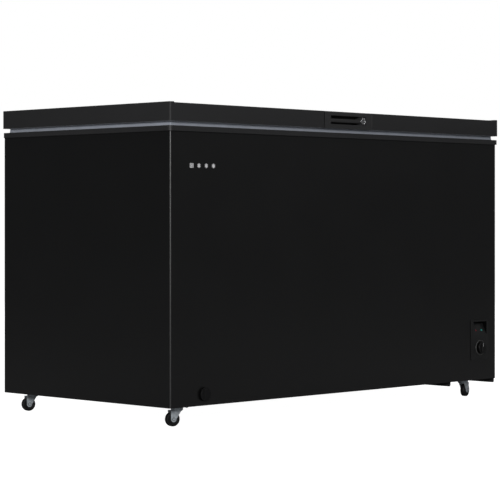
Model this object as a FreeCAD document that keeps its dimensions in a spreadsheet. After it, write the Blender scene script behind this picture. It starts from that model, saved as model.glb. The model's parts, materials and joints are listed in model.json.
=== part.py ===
import FreeCAD, Part

import math
import os
from collections import namedtuple

import Sketcher
from FreeCAD import Placement, Rotation, Vector

# A chest freezer on four swivel casters, in millimetres. X runs along the front, Y from the front to
# the back and Z up. The origin is on the floor, under the middle of the whole freezer.

SIZES = [
    ("cab_w", 1380, "cabinet: width"),
    ("cab_d", 686, "cabinet: depth"),
    ("wall_rise", 721, "cabinet: height of the steel walls"),
    ("skin", 0.8, "cabinet: outer sheet"),
    ("sheet", 1.0, "cabinet: bottom sheet"),
    ("corner_r", 7, "cabinet: upright corners"),
    ("wall", 62, "cabinet: insulated wall, outside to inside"),
    ("liner", 1.0, "liner: sheet"),
    ("liner_r", 20, "liner: upright corners"),
    ("tube_room", 7, "foam: room for tubes at the liner and at the skin"),
    ("collar_rise", 14, "collar: height"),
    ("collar_out", 5, "collar: overhang past the walls"),
    ("ledge_w", 10, "collar: width of the basket ledge"),
    ("ledge_drop", 12, "collar: depth of the basket ledge"),
    ("bay_w", 216, "compressor bay: width"),
    ("bay_rise", 250, "compressor bay: height"),
    ("step_wall", 60, "compressor bay: insulation over and beside it"),
    ("plate", 1.5, "base plate: sheet"),
    ("flange", 14, "base plate: drop of the side flanges"),
    ("flange_r", 5, "base plate: rounding of the flange ends"),
    ("caster_rise", 53, "caster: floor to cabinet"),
    ("wheel_r", 19.25, "caster: wheel radius"),
    ("wheel_w", 14, "caster: wheel width"),
    ("trail", 13.6, "caster: axle behind the swivel"),
    ("tread_gap", 2.2, "caster: fork's crown above the wheel"),
    ("hub_gap", 0.8, "caster: fork's legs beside the wheel"),
    ("dish", 1, "caster: depth of the wheel's dished sides"),
    ("tread", 5, "caster: width of the rim round the dish"),
    ("hub", 3, "caster: hub round the axle"),
    ("rivet", 1.5, "caster: height of the axle's heads"),
    ("fork_sheet", 2, "caster: fork sheet"),
    ("fork_front", 8, "caster: fork ahead of the swivel"),
    ("fork_rear", 22, "caster: fork behind the swivel"),
    ("leg_r", 7.5, "caster: round end of a fork leg"),
    ("crown_r", 14, "caster: radius of the fork's crown"),
    ("cup_r", 16, "caster: bearing cup radius"),
    ("mount_w", 52, "caster: mounting plate width"),
    ("mount_d", 44, "caster: mounting plate depth"),
    ("mount", 2.5, "caster: mounting plate sheet"),
    ("washer", 1.2, "caster: washer under the fork's crown"),
    ("bolt_r", 2.2, "caster: mounting hole radius"),
    ("bolt_in", 6, "caster: mounting holes from the plate's edges"),
    ("kingpin_r", 4, "caster: kingpin radius"),
    ("axle_r", 2.5, "caster: axle radius"),
    ("caster_in", 66, "casters: swivel from the left side"),
    ("caster_right_in", 107, "casters: swivel from the right side"),
    ("caster_deep", 45, "casters: swivel from the front and back"),
    ("turn_front_left", -17.6, "casters: how each one has swung, degrees"),
    ("turn_rear_left", -17.6, "casters: rear left"),
    ("turn_front_right", 192.5, "casters: front right"),
    ("turn_rear_right", 150, "casters: rear right"),
    ("seal_rise", 12, "gasket: height"),
    ("seal_w", 14, "gasket: width"),
    ("seal_in", 14, "gasket: inset from the lid edge"),
    ("seal_r", 3, "gasket: outer corners"),
    ("lid_rise", 50, "lid: height"),
    ("lid_out", 4.5, "lid: overhang past the walls"),
    ("lid_r", 6, "lid: upright corners"),
    ("edge_r", 2, "lid: rounding of the top edges"),
    ("hem_r", 1.2, "lid: rounding of the end hems"),
    ("hem_w", 14, "lid: width of the raised end hems"),
    ("hem_rise", 2, "lid: rise of the end hems"),
    ("plug_drop", 16, "lid: drop of the inner panel into the opening"),
    ("plug_gap", 4, "lid: room round the inner panel"),
    ("hinge_in", 250, "hinges: inset from the sides"),
    ("hinge_back", 14, "hinges: pin behind the cabinet"),
    ("hinge_up", 6, "hinges: pin above the lid's lower edge"),
    ("pin_r", 4, "hinges: pin radius"),
    ("ear_r", 8, "hinges: round end of the ears"),
    ("knuckle_r", 7.5, "hinges: knuckle radius"),
    ("knuckle_w", 24, "hinges: knuckle width"),
    ("ear_gap", 42, "hinges: room between the ears"),
    ("wire_r", 0.9, "hinges: spring wire radius"),
    ("spring_room", 0.5, "hinges: room at the ends of a spring"),
    ("ear", 3, "hinges: ear thickness"),
    ("pin_head", 2, "hinges: pin heads, past the pin and thick"),
    ("bracket", 2.5, "hinges: bracket and strap sheet"),
    ("bracket_w", 60, "hinges: bracket width"),
    ("bracket_drop", 86, "hinges: bracket's foot below the wall's top"),
    ("bracket_gap", 4, "hinges: bracket below the wall's top"),
    ("strap_w", 36, "hinges: strap width on the lid"),
    ("web_rise", 16, "hinges: web above the pin"),
    ("shroud_w", 74, "hinges: cover width"),
    ("shroud_drop", 94, "hinges: cover's foot below the wall's top"),
    ("shroud_gap", 9, "hinges: cover below the wall's top"),
    ("shroud_deep", 19, "hinges: cover depth"),
    ("shroud_wall", 3, "hinges: cover wall"),
    ("grip_w", 205, "handle: insert width"),
    ("grip_deep", 36, "handle: insert depth"),
    ("lip_deep", 16, "handle: depth of the lip on the lid's top"),
    ("recess_w", 150, "handle: recess width"),
    ("recess_up", 12, "handle: recess above the lid's lower edge"),
    ("recess_rise", 24.5, "handle: recess height"),
    ("recess_deep", 26, "handle: recess depth"),
    ("bar_up", 5.3, "handle: slot under the grip bar"),
    ("bar_rise", 10.7, "handle: grip bar height"),
    ("bar_deep", 9, "handle: grip bar thickness"),
    ("bar_back", 1, "handle: grip bar behind the lid's face"),
    ("seat_back", 4, "handle: lock seat behind the lid's face"),
    ("seat_wall", 2, "handle: seat beside the lock"),
    ("lock_r", 9, "lock: cylinder radius"),
    ("lock_back", 1.5, "lock: face behind the lid's face"),
    ("key_w", 2, "lock: keyhole width"),
    ("key_rise", 9, "lock: keyhole height and depth"),
    ("panel_w", 86, "control panel: width"),
    ("panel_rise", 122, "control panel: height"),
    ("panel_in", 39, "control panel: inset from the right side"),
    ("panel_up", 60.5, "control panel: above the cabinet's lower edge"),
    ("panel_out", 2.5, "control panel: stands proud"),
    ("panel_deep", 24, "control panel: depth behind the front"),
    ("panel_lap", 3, "control panel: flange round its box"),
    ("panel_wall", 4, "control panel: thickness of its face and sides"),
    ("panel_r", 4, "control panel: corners"),
    ("lamp_margin", 11, "lamp recess: inset from the panel's sides"),
    ("lamp_top", 5, "lamp recess: below the panel's top"),
    ("lamp_rise", 40.5, "lamp recess: height"),
    ("lamp_deep", 20, "lamp recess: depth at its top"),
    ("lamp_up", 13.5, "lamps: above the foot of the slope"),
    ("lamp_apart", 27, "lamps: spacing"),
    ("lamp_r", 3, "lamps: radius"),
    ("lamp_out", 2.2, "lamps: height"),
    ("knob_up", 37.5, "knob: above the panel's lower edge"),
    ("knob_r", 17, "knob: radius"),
    ("knob_deep", 9, "knob: depth of the disc"),
    ("ridge_deep", 3.5, "knob: height of the grip ridge"),
    ("ridge_w", 9, "knob: width of the grip ridge"),
    ("dial_r", 23, "knob: raised dial ring"),
    ("dial_w", 3, "knob: width of the dial ring"),
    ("dial_out", 0.8, "knob: height of the dial ring"),
    ("stat_w", 42, "thermostat: width and height of its body"),
    ("stat_deep", 30, "thermostat: depth of its body"),
    ("spindle_r", 3, "knob: spindle radius"),
    ("drain_in", 122, "drain: from the left side"),
    ("drain_up", 30, "drain: above the cabinet's lower edge"),
    ("drain_deep", 50, "drain: floor hole behind the liner's front"),
    ("drain_r", 10, "drain: pipe outer radius"),
    ("drain_bore", 8, "drain: pipe bore radius"),
    ("spout_r", 17, "drain: spout flange radius"),
    ("spout_out", 2, "drain: spout flange thickness"),
    ("cap_r", 18, "drain: cap radius"),
    ("cap_deep", 4, "drain: cap thickness"),
    ("cap_bar_w", 10, "drain: width of the cap's bar"),
    ("cap_bar_out", 3, "drain: height of the cap's bar"),
    ("plug_deep", 14, "drain: length of the cap's and the stopper's plug"),
    ("stopper_lap", 5, "drain: stopper's rim past its hole"),
    ("stopper_deep", 3, "drain: stopper's rim thickness"),
    ("tab_w", 18, "drain: width of the stopper's tab"),
    ("tab_rise", 11, "drain: height of the stopper's tab"),
    ("badge_in", 70, "badge: from the left side"),
    ("badge_w", 92, "badge: width"),
    ("badge_rise", 12, "badge: height"),
    ("badge_up", 626, "badge: lower edge above the cabinet's lower edge"),
    ("badge_out", 1, "badge: thickness"),
    ("star_arm", 2.4, "badge: width of a star's arms"),
    ("basket_w", 300, "basket: width"),
    ("basket_drop", 200, "basket: depth below its hooks"),
    ("basket_wire", 4, "basket: wire"),
    ("basket_side", 8, "basket: room beside it"),
    ("basket_r", 12, "basket: inside of its corners"),
    ("hook_w", 60, "basket: width of each pair of hooks"),
    ("hook_short", 2, "basket: hooks short of the ledge's back"),
    ("comp_r", 70, "compressor: can radius"),
    ("comp_rise", 160, "compressor: can height"),
    ("comp_in", 180, "compressor: centre from the back"),
    ("comp_sink", 6, "compressor: can below its mounting plate"),
    ("comp_plate", 3, "compressor: mounting plate"),
    ("foot_x", 74, "compressor: feet either side of its centre"),
    ("foot_y", 48, "compressor: feet before and behind its centre"),
    ("foot_lap", 16, "compressor: mounting plate past the feet"),
    ("foot_rise", 15, "compressor: rubber feet"),
    ("foot_r", 11, "compressor: radius of a foot"),
    ("relay_w", 54, "relay cover: width"),
    ("relay_rise", 64, "relay cover: height"),
    ("relay_deep", 34, "relay cover: depth"),
    ("relay_up", 60, "relay cover: middle above the feet"),
    ("drier_r", 10, "drier: radius"),
    ("drier_long", 90, "drier: length"),
    ("drier_up", 90, "drier: lower end above the cabinet's lower edge"),
    ("drier_off", 150, "drier: in front of the compressor"),
    ("neck_r", 4, "drier: radius of its necks"),
    ("neck_long", 12, "drier: length of its necks"),
    ("suction_r", 4, "pipes: suction radius"),
    ("discharge_r", 3, "pipes: discharge radius"),
    ("liquid_r", 2.5, "pipes: radius into the drier"),
    ("capillary_r", 1.5, "pipes: radius out of the drier"),
    ("pipe_off", 20, "pipes: either side of the can's centre"),
    ("pipe_rise", 30, "pipes: rise over the can"),
    ("pipe_run", 70, "pipes: run to the side of the can"),
    ("capillary_run", 60, "pipes: run from the drier"),
    ("vent_w", 150, "side grille: width"),
    ("vent_rise", 130, "side grille: height"),
    ("vent_up", 15, "side grille: middle above the bay's middle"),
    ("vent_out", 2, "side grille: thickness outside"),
    ("vent_deep", 3, "side grille: depth inside"),
    ("louvre", 6, "side grille: height of a slot"),
    ("louvre_in", 14, "side grille: slots from its edges"),
    ("cover_lap", 12, "rear cover: lap over the back panel"),
    ("cover", 1.2, "rear cover: sheet"),
    ("cover_up", 3, "rear cover: above the cabinet's lower edge"),
    ("cover_slot_w", 120, "rear cover: width of a slot"),
    ("cover_slot_up", 90, "rear cover: lowest slot above the cabinet's lower edge"),
    ("cover_pitch", 20, "rear cover: spacing of the slots"),
    ("screw_r", 2, "rear cover screws: shank radius"),
    ("head_r", 4.2, "rear cover screws: head radius"),
    ("head_rise", 2.4, "rear cover screws: head height"),
    ("inlet_in", 40, "cord inlet: from the right side"),
    ("inlet_up", 35, "cord inlet: above the cabinet's lower edge"),
    ("inlet_r", 9, "cord inlet: radius in the cover"),
    ("inlet_lip", 3, "cord inlet: lip past the hole"),
    ("inlet_bore", 4, "cord inlet: bore radius"),
    ("inlet_out", 5, "cord inlet: length each way"),
    ("evap_r", 3, "evaporator tube radius"),
    ("cond_r", 2.5, "condenser tube radius"),
    ("coil_pitch", 78, "coils: spacing of the turns"),
    ("evap_up", 40, "coils: evaporator above the step"),
    ("cond_up", 60, "coils: condenser above the bay"),
    ("free", 0.3, "gap between pieces that move past each other"),
    ("fit", 0.05, "radial clearance of a pin in its hole"),
]

OVER = 1          # how far a cut runs out past the faces it opens
HOLE_ROOM = 0.1   # room round a screw or pipe in its hole
TURNS = 5         # turns of each coil
STARS = 4         # stars of the badge
LOUVRES = 9       # slots of the side grille
COVER_SLOTS = 8   # slots of the rear cover


class Size:
    """A length that knows its value and the sheet expression that gives it."""

    def __init__(self, value, text):
        self.value = value
        self.text = text

    @staticmethod
    def of(number):
        return number if isinstance(number, Size) else Size(number, f"({number})")

    def joined(self, sign, other, value):
        return Size(value, f"({self.text} {sign} {other.text})")

    def __add__(self, other):
        other = Size.of(other)
        return self.joined("+", other, self.value + other.value)

    def __sub__(self, other):
        other = Size.of(other)
        return self.joined("-", other, self.value - other.value)

    def __mul__(self, other):
        other = Size.of(other)
        return self.joined("*", other, self.value * other.value)

    def __truediv__(self, other):
        other = Size.of(other)
        return self.joined("/", other, self.value / other.value)

    def __radd__(self, other):
        return Size.of(other) + self

    def __rsub__(self, other):
        return Size.of(other) - self

    def __neg__(self):
        return Size.of(0) - self

    def __float__(self):
        return float(self.value)


Disc = namedtuple("Disc", "x y radius")
Spot = namedtuple("Spot", "x y")

doc = FreeCAD.newDocument("chest_freezer")
sheet_page = doc.addObject("Spreadsheet::Sheet", "sizes")
for row, (alias, number, note) in enumerate(SIZES, 1):
    sheet_page.set(f"A{row}", note)
    sheet_page.set(f"B{row}", str(number))
    sheet_page.setAlias(f"B{row}", alias)
doc.recompute()
S = {alias: Size(float(sheet_page.get(alias)), f"sizes.{alias}") for alias, _, _ in SIZES}
nodes = []

# ---------------------------------------------------------------- helpers


def bind(thing, prop, size):
    """Tie a property of an object to the sheet."""
    thing.setExpression(prop, Size.of(size).text)


def rect(x0, y0, x1, y1):
    """The corners of a rectangle, for an outline."""
    return [(x0, y0), (x1, y0), (x1, y1), (x0, y1)]


def middle_rect(x, y, half_x, half_y):
    """The corners of a rectangle round its middle."""
    return rect(x - half_x, y - half_y, x + half_x, y + half_y)


def add_point_sizes(sketch, index, place, x, y):
    """Hold one point of a sketch at x, y from the origin."""
    for kind, size in (("DistanceX", x), ("DistanceY", y)):
        number = sketch.addConstraint(Sketcher.Constraint(kind, -1, 1, index, place, float(size)))
        bind(sketch, f"Constraints[{number}]", size)


def add_outline(sketch, points):
    """Add a closed outline of straight lines through the points."""
    first = sketch.GeometryCount
    count = len(points)
    for here, there in zip(points, points[1:] + points[:1]):
        start = Vector(float(here[0]), float(here[1]), 0)
        end = Vector(float(there[0]), float(there[1]), 0)
        sketch.addGeometry(Part.LineSegment(start, end))
    for step, (x, y) in enumerate(points):
        after = first + (step + 1) % count
        sketch.addConstraint(Sketcher.Constraint("Coincident", first + step, 2, after, 1))
        add_point_sizes(sketch, first + step, 1, x, y)


def add_disc(sketch, disc):
    """Add a circle."""
    centre = Vector(float(disc.x), float(disc.y), 0)
    index = sketch.addGeometry(Part.Circle(centre, Vector(0, 0, 1), float(disc.radius)))
    add_point_sizes(sketch, index, 3, disc.x, disc.y)
    number = sketch.addConstraint(Sketcher.Constraint("Radius", index, float(disc.radius)))
    bind(sketch, f"Constraints[{number}]", disc.radius)


def draw(body, plane, level, loops):
    """Draw loops on one of the body's own planes, moved to a level along the global axis."""
    sketch = body.newObject("Sketcher::SketchObject", "outline")
    origin = next(f for f in body.Origin.OriginFeatures if f.Role == f"{plane}_Plane")
    sketch.AttachmentSupport = [(origin, "")]
    sketch.MapMode = "FlatFace"
    bind(sketch, "AttachmentOffset.Base.z", -level if plane == "XZ" else level)
    for loop in loops:
        if isinstance(loop, Disc):
            add_disc(sketch, loop)
        else:
            add_outline(sketch, loop)
    return sketch


def new_body(label):
    """Start a sub-part."""
    body = doc.addObject("PartDesign::Body", label)
    nodes.append(body)
    return body


def pad(body, plane, low, high, *loops):
    """Add material between two levels of the axis across the plane."""
    low, high = Size.of(low), Size.of(high)
    sketch = draw(body, plane, high if plane == "XZ" else low, loops)
    feature = body.newObject("PartDesign::Pad", "pad")
    feature.Profile = sketch
    bind(feature, "Length", high - low)


def pocket(body, plane, low, high, *loops):
    """Take material away between two levels, and make sure that some went."""
    low, high = Size.of(low), Size.of(high)
    doc.recompute()
    before = body.Shape.Volume
    sketch = draw(body, plane, low if plane == "XZ" else high, loops)
    feature = body.newObject("PartDesign::Pocket", "pocket")
    feature.Profile = sketch
    bind(feature, "Length", high - low)
    doc.recompute()
    if not body.Shape.Volume < before:
        raise ValueError(f"a pocket in {body.Label} cut nothing")


def fillet(body, radius, wanted):
    """Round the edges that the test wanted() picks."""
    doc.recompute()
    tip = body.Tip
    names = [f"Edge{number}" for number, edge in enumerate(tip.Shape.Edges, 1) if wanted(edge)]
    if not names:
        raise ValueError(f"no edge to round in {body.Label}")
    feature = body.newObject("PartDesign::Fillet", "rounding")
    feature.Base = (tip, names)
    bind(feature, "Radius", radius)


def runs_along(edge, axis):
    """True for a straight edge along one axis, 0 for X, 1 for Y or 2 for Z."""
    if not isinstance(edge.Curve, Part.Line):
        return False
    return abs(edge.Curve.Direction[axis]) > 0.999


def passes(edge, axis, spots):
    """True where an edge along an axis goes through one of the spots, given in the other two axes."""
    if not runs_along(edge, axis):
        return False
    across = [value for number, value in enumerate(edge.CenterOfMass) if number != axis]
    return any(math.dist(across, [float(value) for value in spot]) < 0.01 for spot in spots)


def corners(x0, y0, x1, y1):
    """The four corners of a rectangle, as spots for passes()."""
    return [Spot(x, y) for x in (x0, x1) for y in (y0, y1)]


def block(low, high):
    """A box between two corners."""
    box = doc.addObject("Part::Box", "block")
    for axis, length, start, end in zip("xyz", ("Length", "Width", "Height"), low, high):
        bind(box, length, end - start)
        bind(box, f"Placement.Base.{axis}", start)
    return box


def rod(radius, length, place, turn=None):
    """A cylinder from a place along +Z, or along the direction that a rotation turns +Z to."""
    cylinder = doc.addObject("Part::Cylinder", "rod")
    if turn is not None:
        cylinder.Placement = Placement(Vector(0, 0, 0), turn)
    bind(cylinder, "Radius", radius)
    bind(cylinder, "Height", length)
    for axis, size in zip("xyz", place):
        bind(cylinder, f"Placement.Base.{axis}", size)
    return cylinder


def ball(radius, place):
    """A sphere."""
    sphere = doc.addObject("Part::Sphere", "ball")
    bind(sphere, "Radius", radius)
    for axis, size in zip("xyz", place):
        bind(sphere, f"Placement.Base.{axis}", size)
    return sphere


def fuse(pieces, label=None):
    """Join pieces into one solid; a label makes it a sub-part."""
    joined = doc.addObject("Part::MultiFuse", label or "joined")
    joined.Shapes = pieces
    if label:
        nodes.append(joined)
    return joined


def cut(base, tools, label):
    """Take tools out of a base, as a sub-part."""
    result = doc.addObject("Part::Cut", label)
    result.Base = base
    result.Tool = tools[0] if len(tools) == 1 else fuse(tools)
    nodes.append(result)


def group(pieces, label):
    """Separate solids that share one node."""
    compound = doc.addObject("Part::Compound", label)
    compound.Links = pieces
    nodes.append(compound)


def bent_tube(points, radius, bend):
    """A solid tube along straight runs joined by tangent arcs of one radius."""
    points = [Vector(*(float(value) for value in point)) for point in points]
    edges = []
    start = points[0]
    for before, corner, after in zip(points, points[1:], points[2:]):
        back = (before - corner).normalize()
        ahead = (after - corner).normalize()
        half = back.getAngle(ahead) / 2
        reach = bend / math.tan(half)
        centre = corner + (back + ahead).normalize() * (bend / math.sin(half))
        enter = corner + back * reach
        leave = corner + ahead * reach
        crown = centre + (corner - centre).normalize() * bend
        edges.append(Part.LineSegment(start, enter).toShape())
        edges.append(Part.Arc(enter, crown, leave).toShape())
        start = leave
    edges.append(Part.LineSegment(start, points[-1]).toShape())
    path = Part.Wire(edges)
    section = Part.Wire(Part.makeCircle(radius, points[0], points[1] - points[0]))
    tube = path.makePipeShell([section], True, False)
    expected = math.pi * radius**2 * path.Length
    if abs(tube.Volume - expected) > 0.01 * expected:
        raise ValueError("a bent tube does not have the volume of its path")
    return tube


def shaped(label, shapes):
    """A sub-part whose shape is worked out in code."""
    feature = doc.addObject("Part::Feature", label)
    feature.Shape = shapes[0] if len(shapes) == 1 else Part.makeCompound(shapes)
    nodes.append(feature)


# ---------------------------------------------------------------- main faces and levels

left = -S["cab_w"] / 2
right = S["cab_w"] / 2
front_reach = S["panel_out"] + S["free"] + S["knob_deep"] + S["ridge_deep"]
rear_reach = S["hinge_back"] + S["ear_r"]
shift = (front_reach - rear_reach) / 2
front = shift - S["cab_d"] / 2
back = shift + S["cab_d"] / 2

z_base = S["caster_rise"]
z_wall = z_base + S["wall_rise"]
z_collar = z_wall + S["collar_rise"]
z_lid = z_collar + S["seal_rise"]
z_top = z_lid + S["lid_rise"]
z_flat = z_top - S["hem_rise"]

in_left = left + S["wall"]
in_right = right - S["wall"]
in_front = front + S["wall"]
in_back = back - S["wall"]
z_floor = z_base + S["wall"]

bay_left = right - S["bay_w"]
z_bay = z_base + S["bay_rise"]
riser = bay_left - S["step_wall"]
z_step = z_bay + S["step_wall"]

skin_left = left + S["skin"]
skin_right = right - S["skin"]
skin_front = front + S["skin"]
skin_back = back - S["skin"]

lid_left = left - S["lid_out"]
lid_right = right + S["lid_out"]
lid_front = front - S["lid_out"]
lid_back = back + S["lid_out"]

panel_right = right - S["panel_in"]
panel_left = panel_right - S["panel_w"]
panel_low = z_base + S["panel_up"]
panel_high = panel_low + S["panel_rise"]
panel_face = front - S["panel_out"]
slope_high = panel_high - S["lamp_top"]
slope_low = slope_high - S["lamp_rise"]
knob_x = (panel_left + panel_right) / 2
knob_z = panel_low + S["knob_up"]
knob_back = panel_face - S["free"]
knob_face = knob_back - S["knob_deep"]
spindle_end = knob_back - S["knob_deep"] * 2 / 3

drain_x = left + S["drain_in"]
drain_z = z_base + S["drain_up"]
drain_y = in_front + S["drain_deep"]

comp_x = (bay_left + right) / 2
comp_y = back - S["comp_in"]
comp_z = z_base + S["plate"] + S["foot_rise"]
comp_low = comp_z - S["comp_sink"]
comp_high = comp_low + S["comp_rise"]

pin_y = back + S["hinge_back"]
pin_z = z_lid + S["hinge_up"]
hinge_places = {"left": left + S["hinge_in"], "right": right - S["hinge_in"]}

vent_y = comp_y
vent_z = z_base + S["bay_rise"] / 2 + S["vent_up"]
drier_x = bay_left + S["drier_r"]
drier_y = comp_y - S["drier_off"]
drier_low = z_base + S["drier_up"]
drier_high = drier_low + S["drier_long"]
inlet_x = right - S["inlet_in"]
inlet_z = z_base + S["inlet_up"]

# Screws of the rear cover: two down its left edge and two along its top.
screw_spots = [
    (bay_left - S["cover_lap"] / 2, z_base + S["bay_rise"] / 5),
    (bay_left - S["cover_lap"] / 2, z_base + S["bay_rise"] * 4 / 5),
    (bay_left + S["bay_w"] / 4, z_bay + S["cover_lap"] / 2),
    (right - S["bay_w"] / 4, z_bay + S["cover_lap"] / 2),
]

lock_x = S["recess_w"] / 2 - S["lock_r"] - S["seat_wall"]
lock_z = z_lid + S["recess_up"] + S["recess_rise"] / 2

crown_low = S["wheel_r"] * 2 + S["tread_gap"]
crown_high = crown_low + S["fork_sheet"]
leg_in = S["wheel_w"] / 2 + S["hub_gap"]
leg_out = leg_in + S["fork_sheet"]
caster_places = {
    "front_left": (left + S["caster_in"], front + S["caster_deep"]),
    "rear_left": (left + S["caster_in"], back - S["caster_deep"]),
    "front_right": (right - S["caster_right_in"], front + S["caster_deep"]),
    "rear_right": (right - S["caster_right_in"], back - S["caster_deep"]),
}

# ---------------------------------------------------------------- cabinet


def outer_wrap():
    """One sheet bent round the front and both sides."""
    body = new_body("outer_wrap")
    outline = [
        (left, back),
        (left, front),
        (right, front),
        (right, back),
        (skin_right, back),
        (skin_right, skin_front),
        (skin_left, skin_front),
        (skin_left, back),
    ]
    pad(body, "XY", z_base, z_wall, outline)
    inner = [Spot(skin_left, skin_front), Spot(skin_right, skin_front)]
    fillet(body, S["corner_r"] - S["skin"], lambda e: passes(e, 2, inner))
    fillet(body, S["corner_r"], lambda e: passes(e, 2, [Spot(left, front), Spot(right, front)]))
    lap = S["panel_lap"]
    panel_hole = rect(panel_left + lap, panel_low + lap, panel_right - lap, panel_high - lap)
    drain_hole = Disc(drain_x, drain_z, S["drain_r"] + HOLE_ROOM)
    pocket(body, "XZ", front - OVER, skin_front + OVER, panel_hole, drain_hole)
    vent_hole = middle_rect(vent_y, vent_z, S["vent_w"] / 2 - lap, S["vent_rise"] / 2 - lap)
    pocket(body, "YZ", skin_right - OVER, right + OVER, vent_hole)


def back_panel():
    """The flat back, open behind the compressor bay."""
    body = new_body("back_panel")
    outline = [
        (skin_left, z_base),
        (bay_left, z_base),
        (bay_left, z_bay),
        (skin_right, z_bay),
        (skin_right, z_wall),
        (skin_left, z_wall),
    ]
    pad(body, "XZ", skin_back, back, outline)
    holes = [Disc(x, z, S["screw_r"] + HOLE_ROOM) for x, z in screw_spots]
    pocket(body, "XZ", skin_back - OVER, back + OVER, *holes)


def bottom_panel():
    """The bottom sheet, folded up and over the compressor bay."""
    body = new_body("bottom_panel")
    sheet = S["sheet"]
    outline = [
        (skin_left, z_base),
        (bay_left, z_base),
        (bay_left, z_bay),
        (skin_right, z_bay),
        (skin_right, z_bay + sheet),
        (bay_left - sheet, z_bay + sheet),
        (bay_left - sheet, z_base + sheet),
        (skin_left, z_base + sheet),
    ]
    pad(body, "XZ", skin_front, skin_back, outline)
    bends = [Spot(skin_left, skin_front), Spot(skin_right, skin_front)]
    fillet(body, S["corner_r"] - S["skin"], lambda e: passes(e, 2, bends))


def foam_insulation():
    """The foam between the liner and the skins, stepped over the bay."""
    room = S["tube_room"]
    inner = S["liner"] + room
    base = block(
        (skin_left + room, skin_front + room, z_base + S["sheet"]),
        (skin_right - room, skin_back - room, z_wall),
    )
    bay = block(
        (bay_left - S["sheet"], front, z_base),
        (right, back, z_bay + S["sheet"]),
    )
    upper = block(
        (in_left - inner, in_front - inner, z_step - S["liner"]),
        (in_right + inner, in_back + inner, z_wall + OVER),
    )
    lower = block(
        (in_left - inner, in_front - inner, z_floor - S["liner"]),
        (riser + S["liner"], in_back + inner, z_step),
    )
    down = rod(S["drain_r"], z_floor - drain_z, (drain_x, drain_y, drain_z))
    out = rod(S["drain_r"], drain_y - front, (drain_x, drain_y, drain_z), Rotation(Vector(1, 0, 0), 90))
    bend = ball(S["drain_r"], (drain_x, drain_y, drain_z))
    cut(base, [bay, upper, lower, down, out, bend], "foam_insulation")


def liner_wall():
    """The liner's four walls, cut away below the step."""
    body = new_body("liner_wall")
    liner = S["liner"]
    outer = (in_left - liner, in_front - liner, in_right + liner, in_back + liner)
    inner = (in_left, in_front, in_right, in_back)
    z_low = z_floor - liner
    pad(body, "XY", z_low, z_wall, rect(*outer), rect(*inner))
    fillet(body, S["liner_r"], lambda e: passes(e, 2, corners(*inner)))
    fillet(body, S["liner_r"] + liner, lambda e: passes(e, 2, corners(*outer)))
    under_step = rect(riser + liner, z_low - OVER, in_right + liner + OVER, z_step - liner)
    pocket(body, "XZ", front, back, under_step)


def liner_floor():
    """The liner's stepped floor, with the drain hole."""
    body = new_body("liner_floor")
    liner = S["liner"]
    outline = [
        (in_left, z_floor - liner),
        (riser + liner, z_floor - liner),
        (riser + liner, z_step - liner),
        (in_right, z_step - liner),
        (in_right, z_step),
        (riser, z_step),
        (riser, z_floor),
        (in_left, z_floor),
    ]
    pad(body, "XZ", in_front, in_back, outline)
    fillet(body, S["liner_r"], lambda e: passes(e, 2, corners(in_left, in_front, in_right, in_back)))
    pocket(body, "XY", z_floor - liner - OVER, z_floor + OVER, Disc(drain_x, drain_y, S["drain_r"]))


def top_collar():
    """The moulded frame round the opening, with a ledge that the baskets hang on."""
    body = new_body("top_collar")
    out = S["collar_out"]
    ledge = S["ledge_w"]
    outer = (left - out, front - out, right + out, back + out)
    opening = (in_left, in_front, in_right, in_back)
    shelf = (in_left - ledge, in_front - ledge, in_right + ledge, in_back + ledge)
    pad(body, "XY", z_wall, z_collar, rect(*outer), rect(*opening))
    pocket(body, "XY", z_collar - S["ledge_drop"], z_collar + OVER, rect(*shelf))
    fillet(body, S["corner_r"] + out, lambda e: passes(e, 2, corners(*outer)))
    fillet(body, S["liner_r"], lambda e: passes(e, 2, corners(*opening)))
    fillet(body, S["liner_r"] + ledge, lambda e: passes(e, 2, corners(*shelf)))


def star(x, z, reach, half):
    """The outline of a six-armed star: its middle, the length of an arm and half an arm's width."""
    points = []
    for arm in range(6):
        turn = math.radians(60 * arm + 30)
        notch = turn + math.radians(30)
        for side in (-half, half):
            points.append((x + reach * math.cos(turn) - side * math.sin(turn),
                           z + reach * math.sin(turn) + side * math.cos(turn)))
        points.append((x + half * 2 * math.cos(notch), z + half * 2 * math.sin(notch)))
    return points


def badge():
    """A row of plain stars fixed to the front: one in a frame, and the rest after it."""
    body = new_body("badge")
    body.AllowCompound = True
    half = S["badge_rise"] / 2
    x = left + S["badge_in"] + half
    z = z_base + S["badge_up"] + half
    arm = S["star_arm"] / 2
    pad(body, "XZ", front - S["badge_out"], front, middle_rect(x, z, half, half),
        middle_rect(x, z, half - arm, half - arm))
    pad(body, "XZ", front - S["badge_out"], front, star(x, z, half - arm / 2, arm / 2))
    pitch = (S["badge_w"] - S["badge_rise"]) / (STARS - 1)
    for number in range(1, STARS):
        pad(body, "XZ", front - S["badge_out"], front, star(x + pitch * number, z, half, arm))


# ---------------------------------------------------------------- compressor bay


def compressor_base_plate():
    """A channel under the bay that carries the compressor and the right casters."""
    body = new_body("compressor_base_plate")
    plate = S["plate"]
    z_low = z_base - S["flange"]
    outline = [
        (bay_left, z_low),
        (bay_left + plate, z_low),
        (bay_left + plate, z_base),
        (skin_right - plate, z_base),
        (skin_right - plate, z_low),
        (skin_right, z_low),
        (skin_right, z_base + plate),
        (bay_left, z_base + plate),
    ]
    pad(body, "XZ", front + S["corner_r"], skin_back, outline)
    fillet(body, S["flange_r"], lambda e: runs_along(e, 0) and e.CenterOfMass.z < float(z_base) - OVER)


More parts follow.
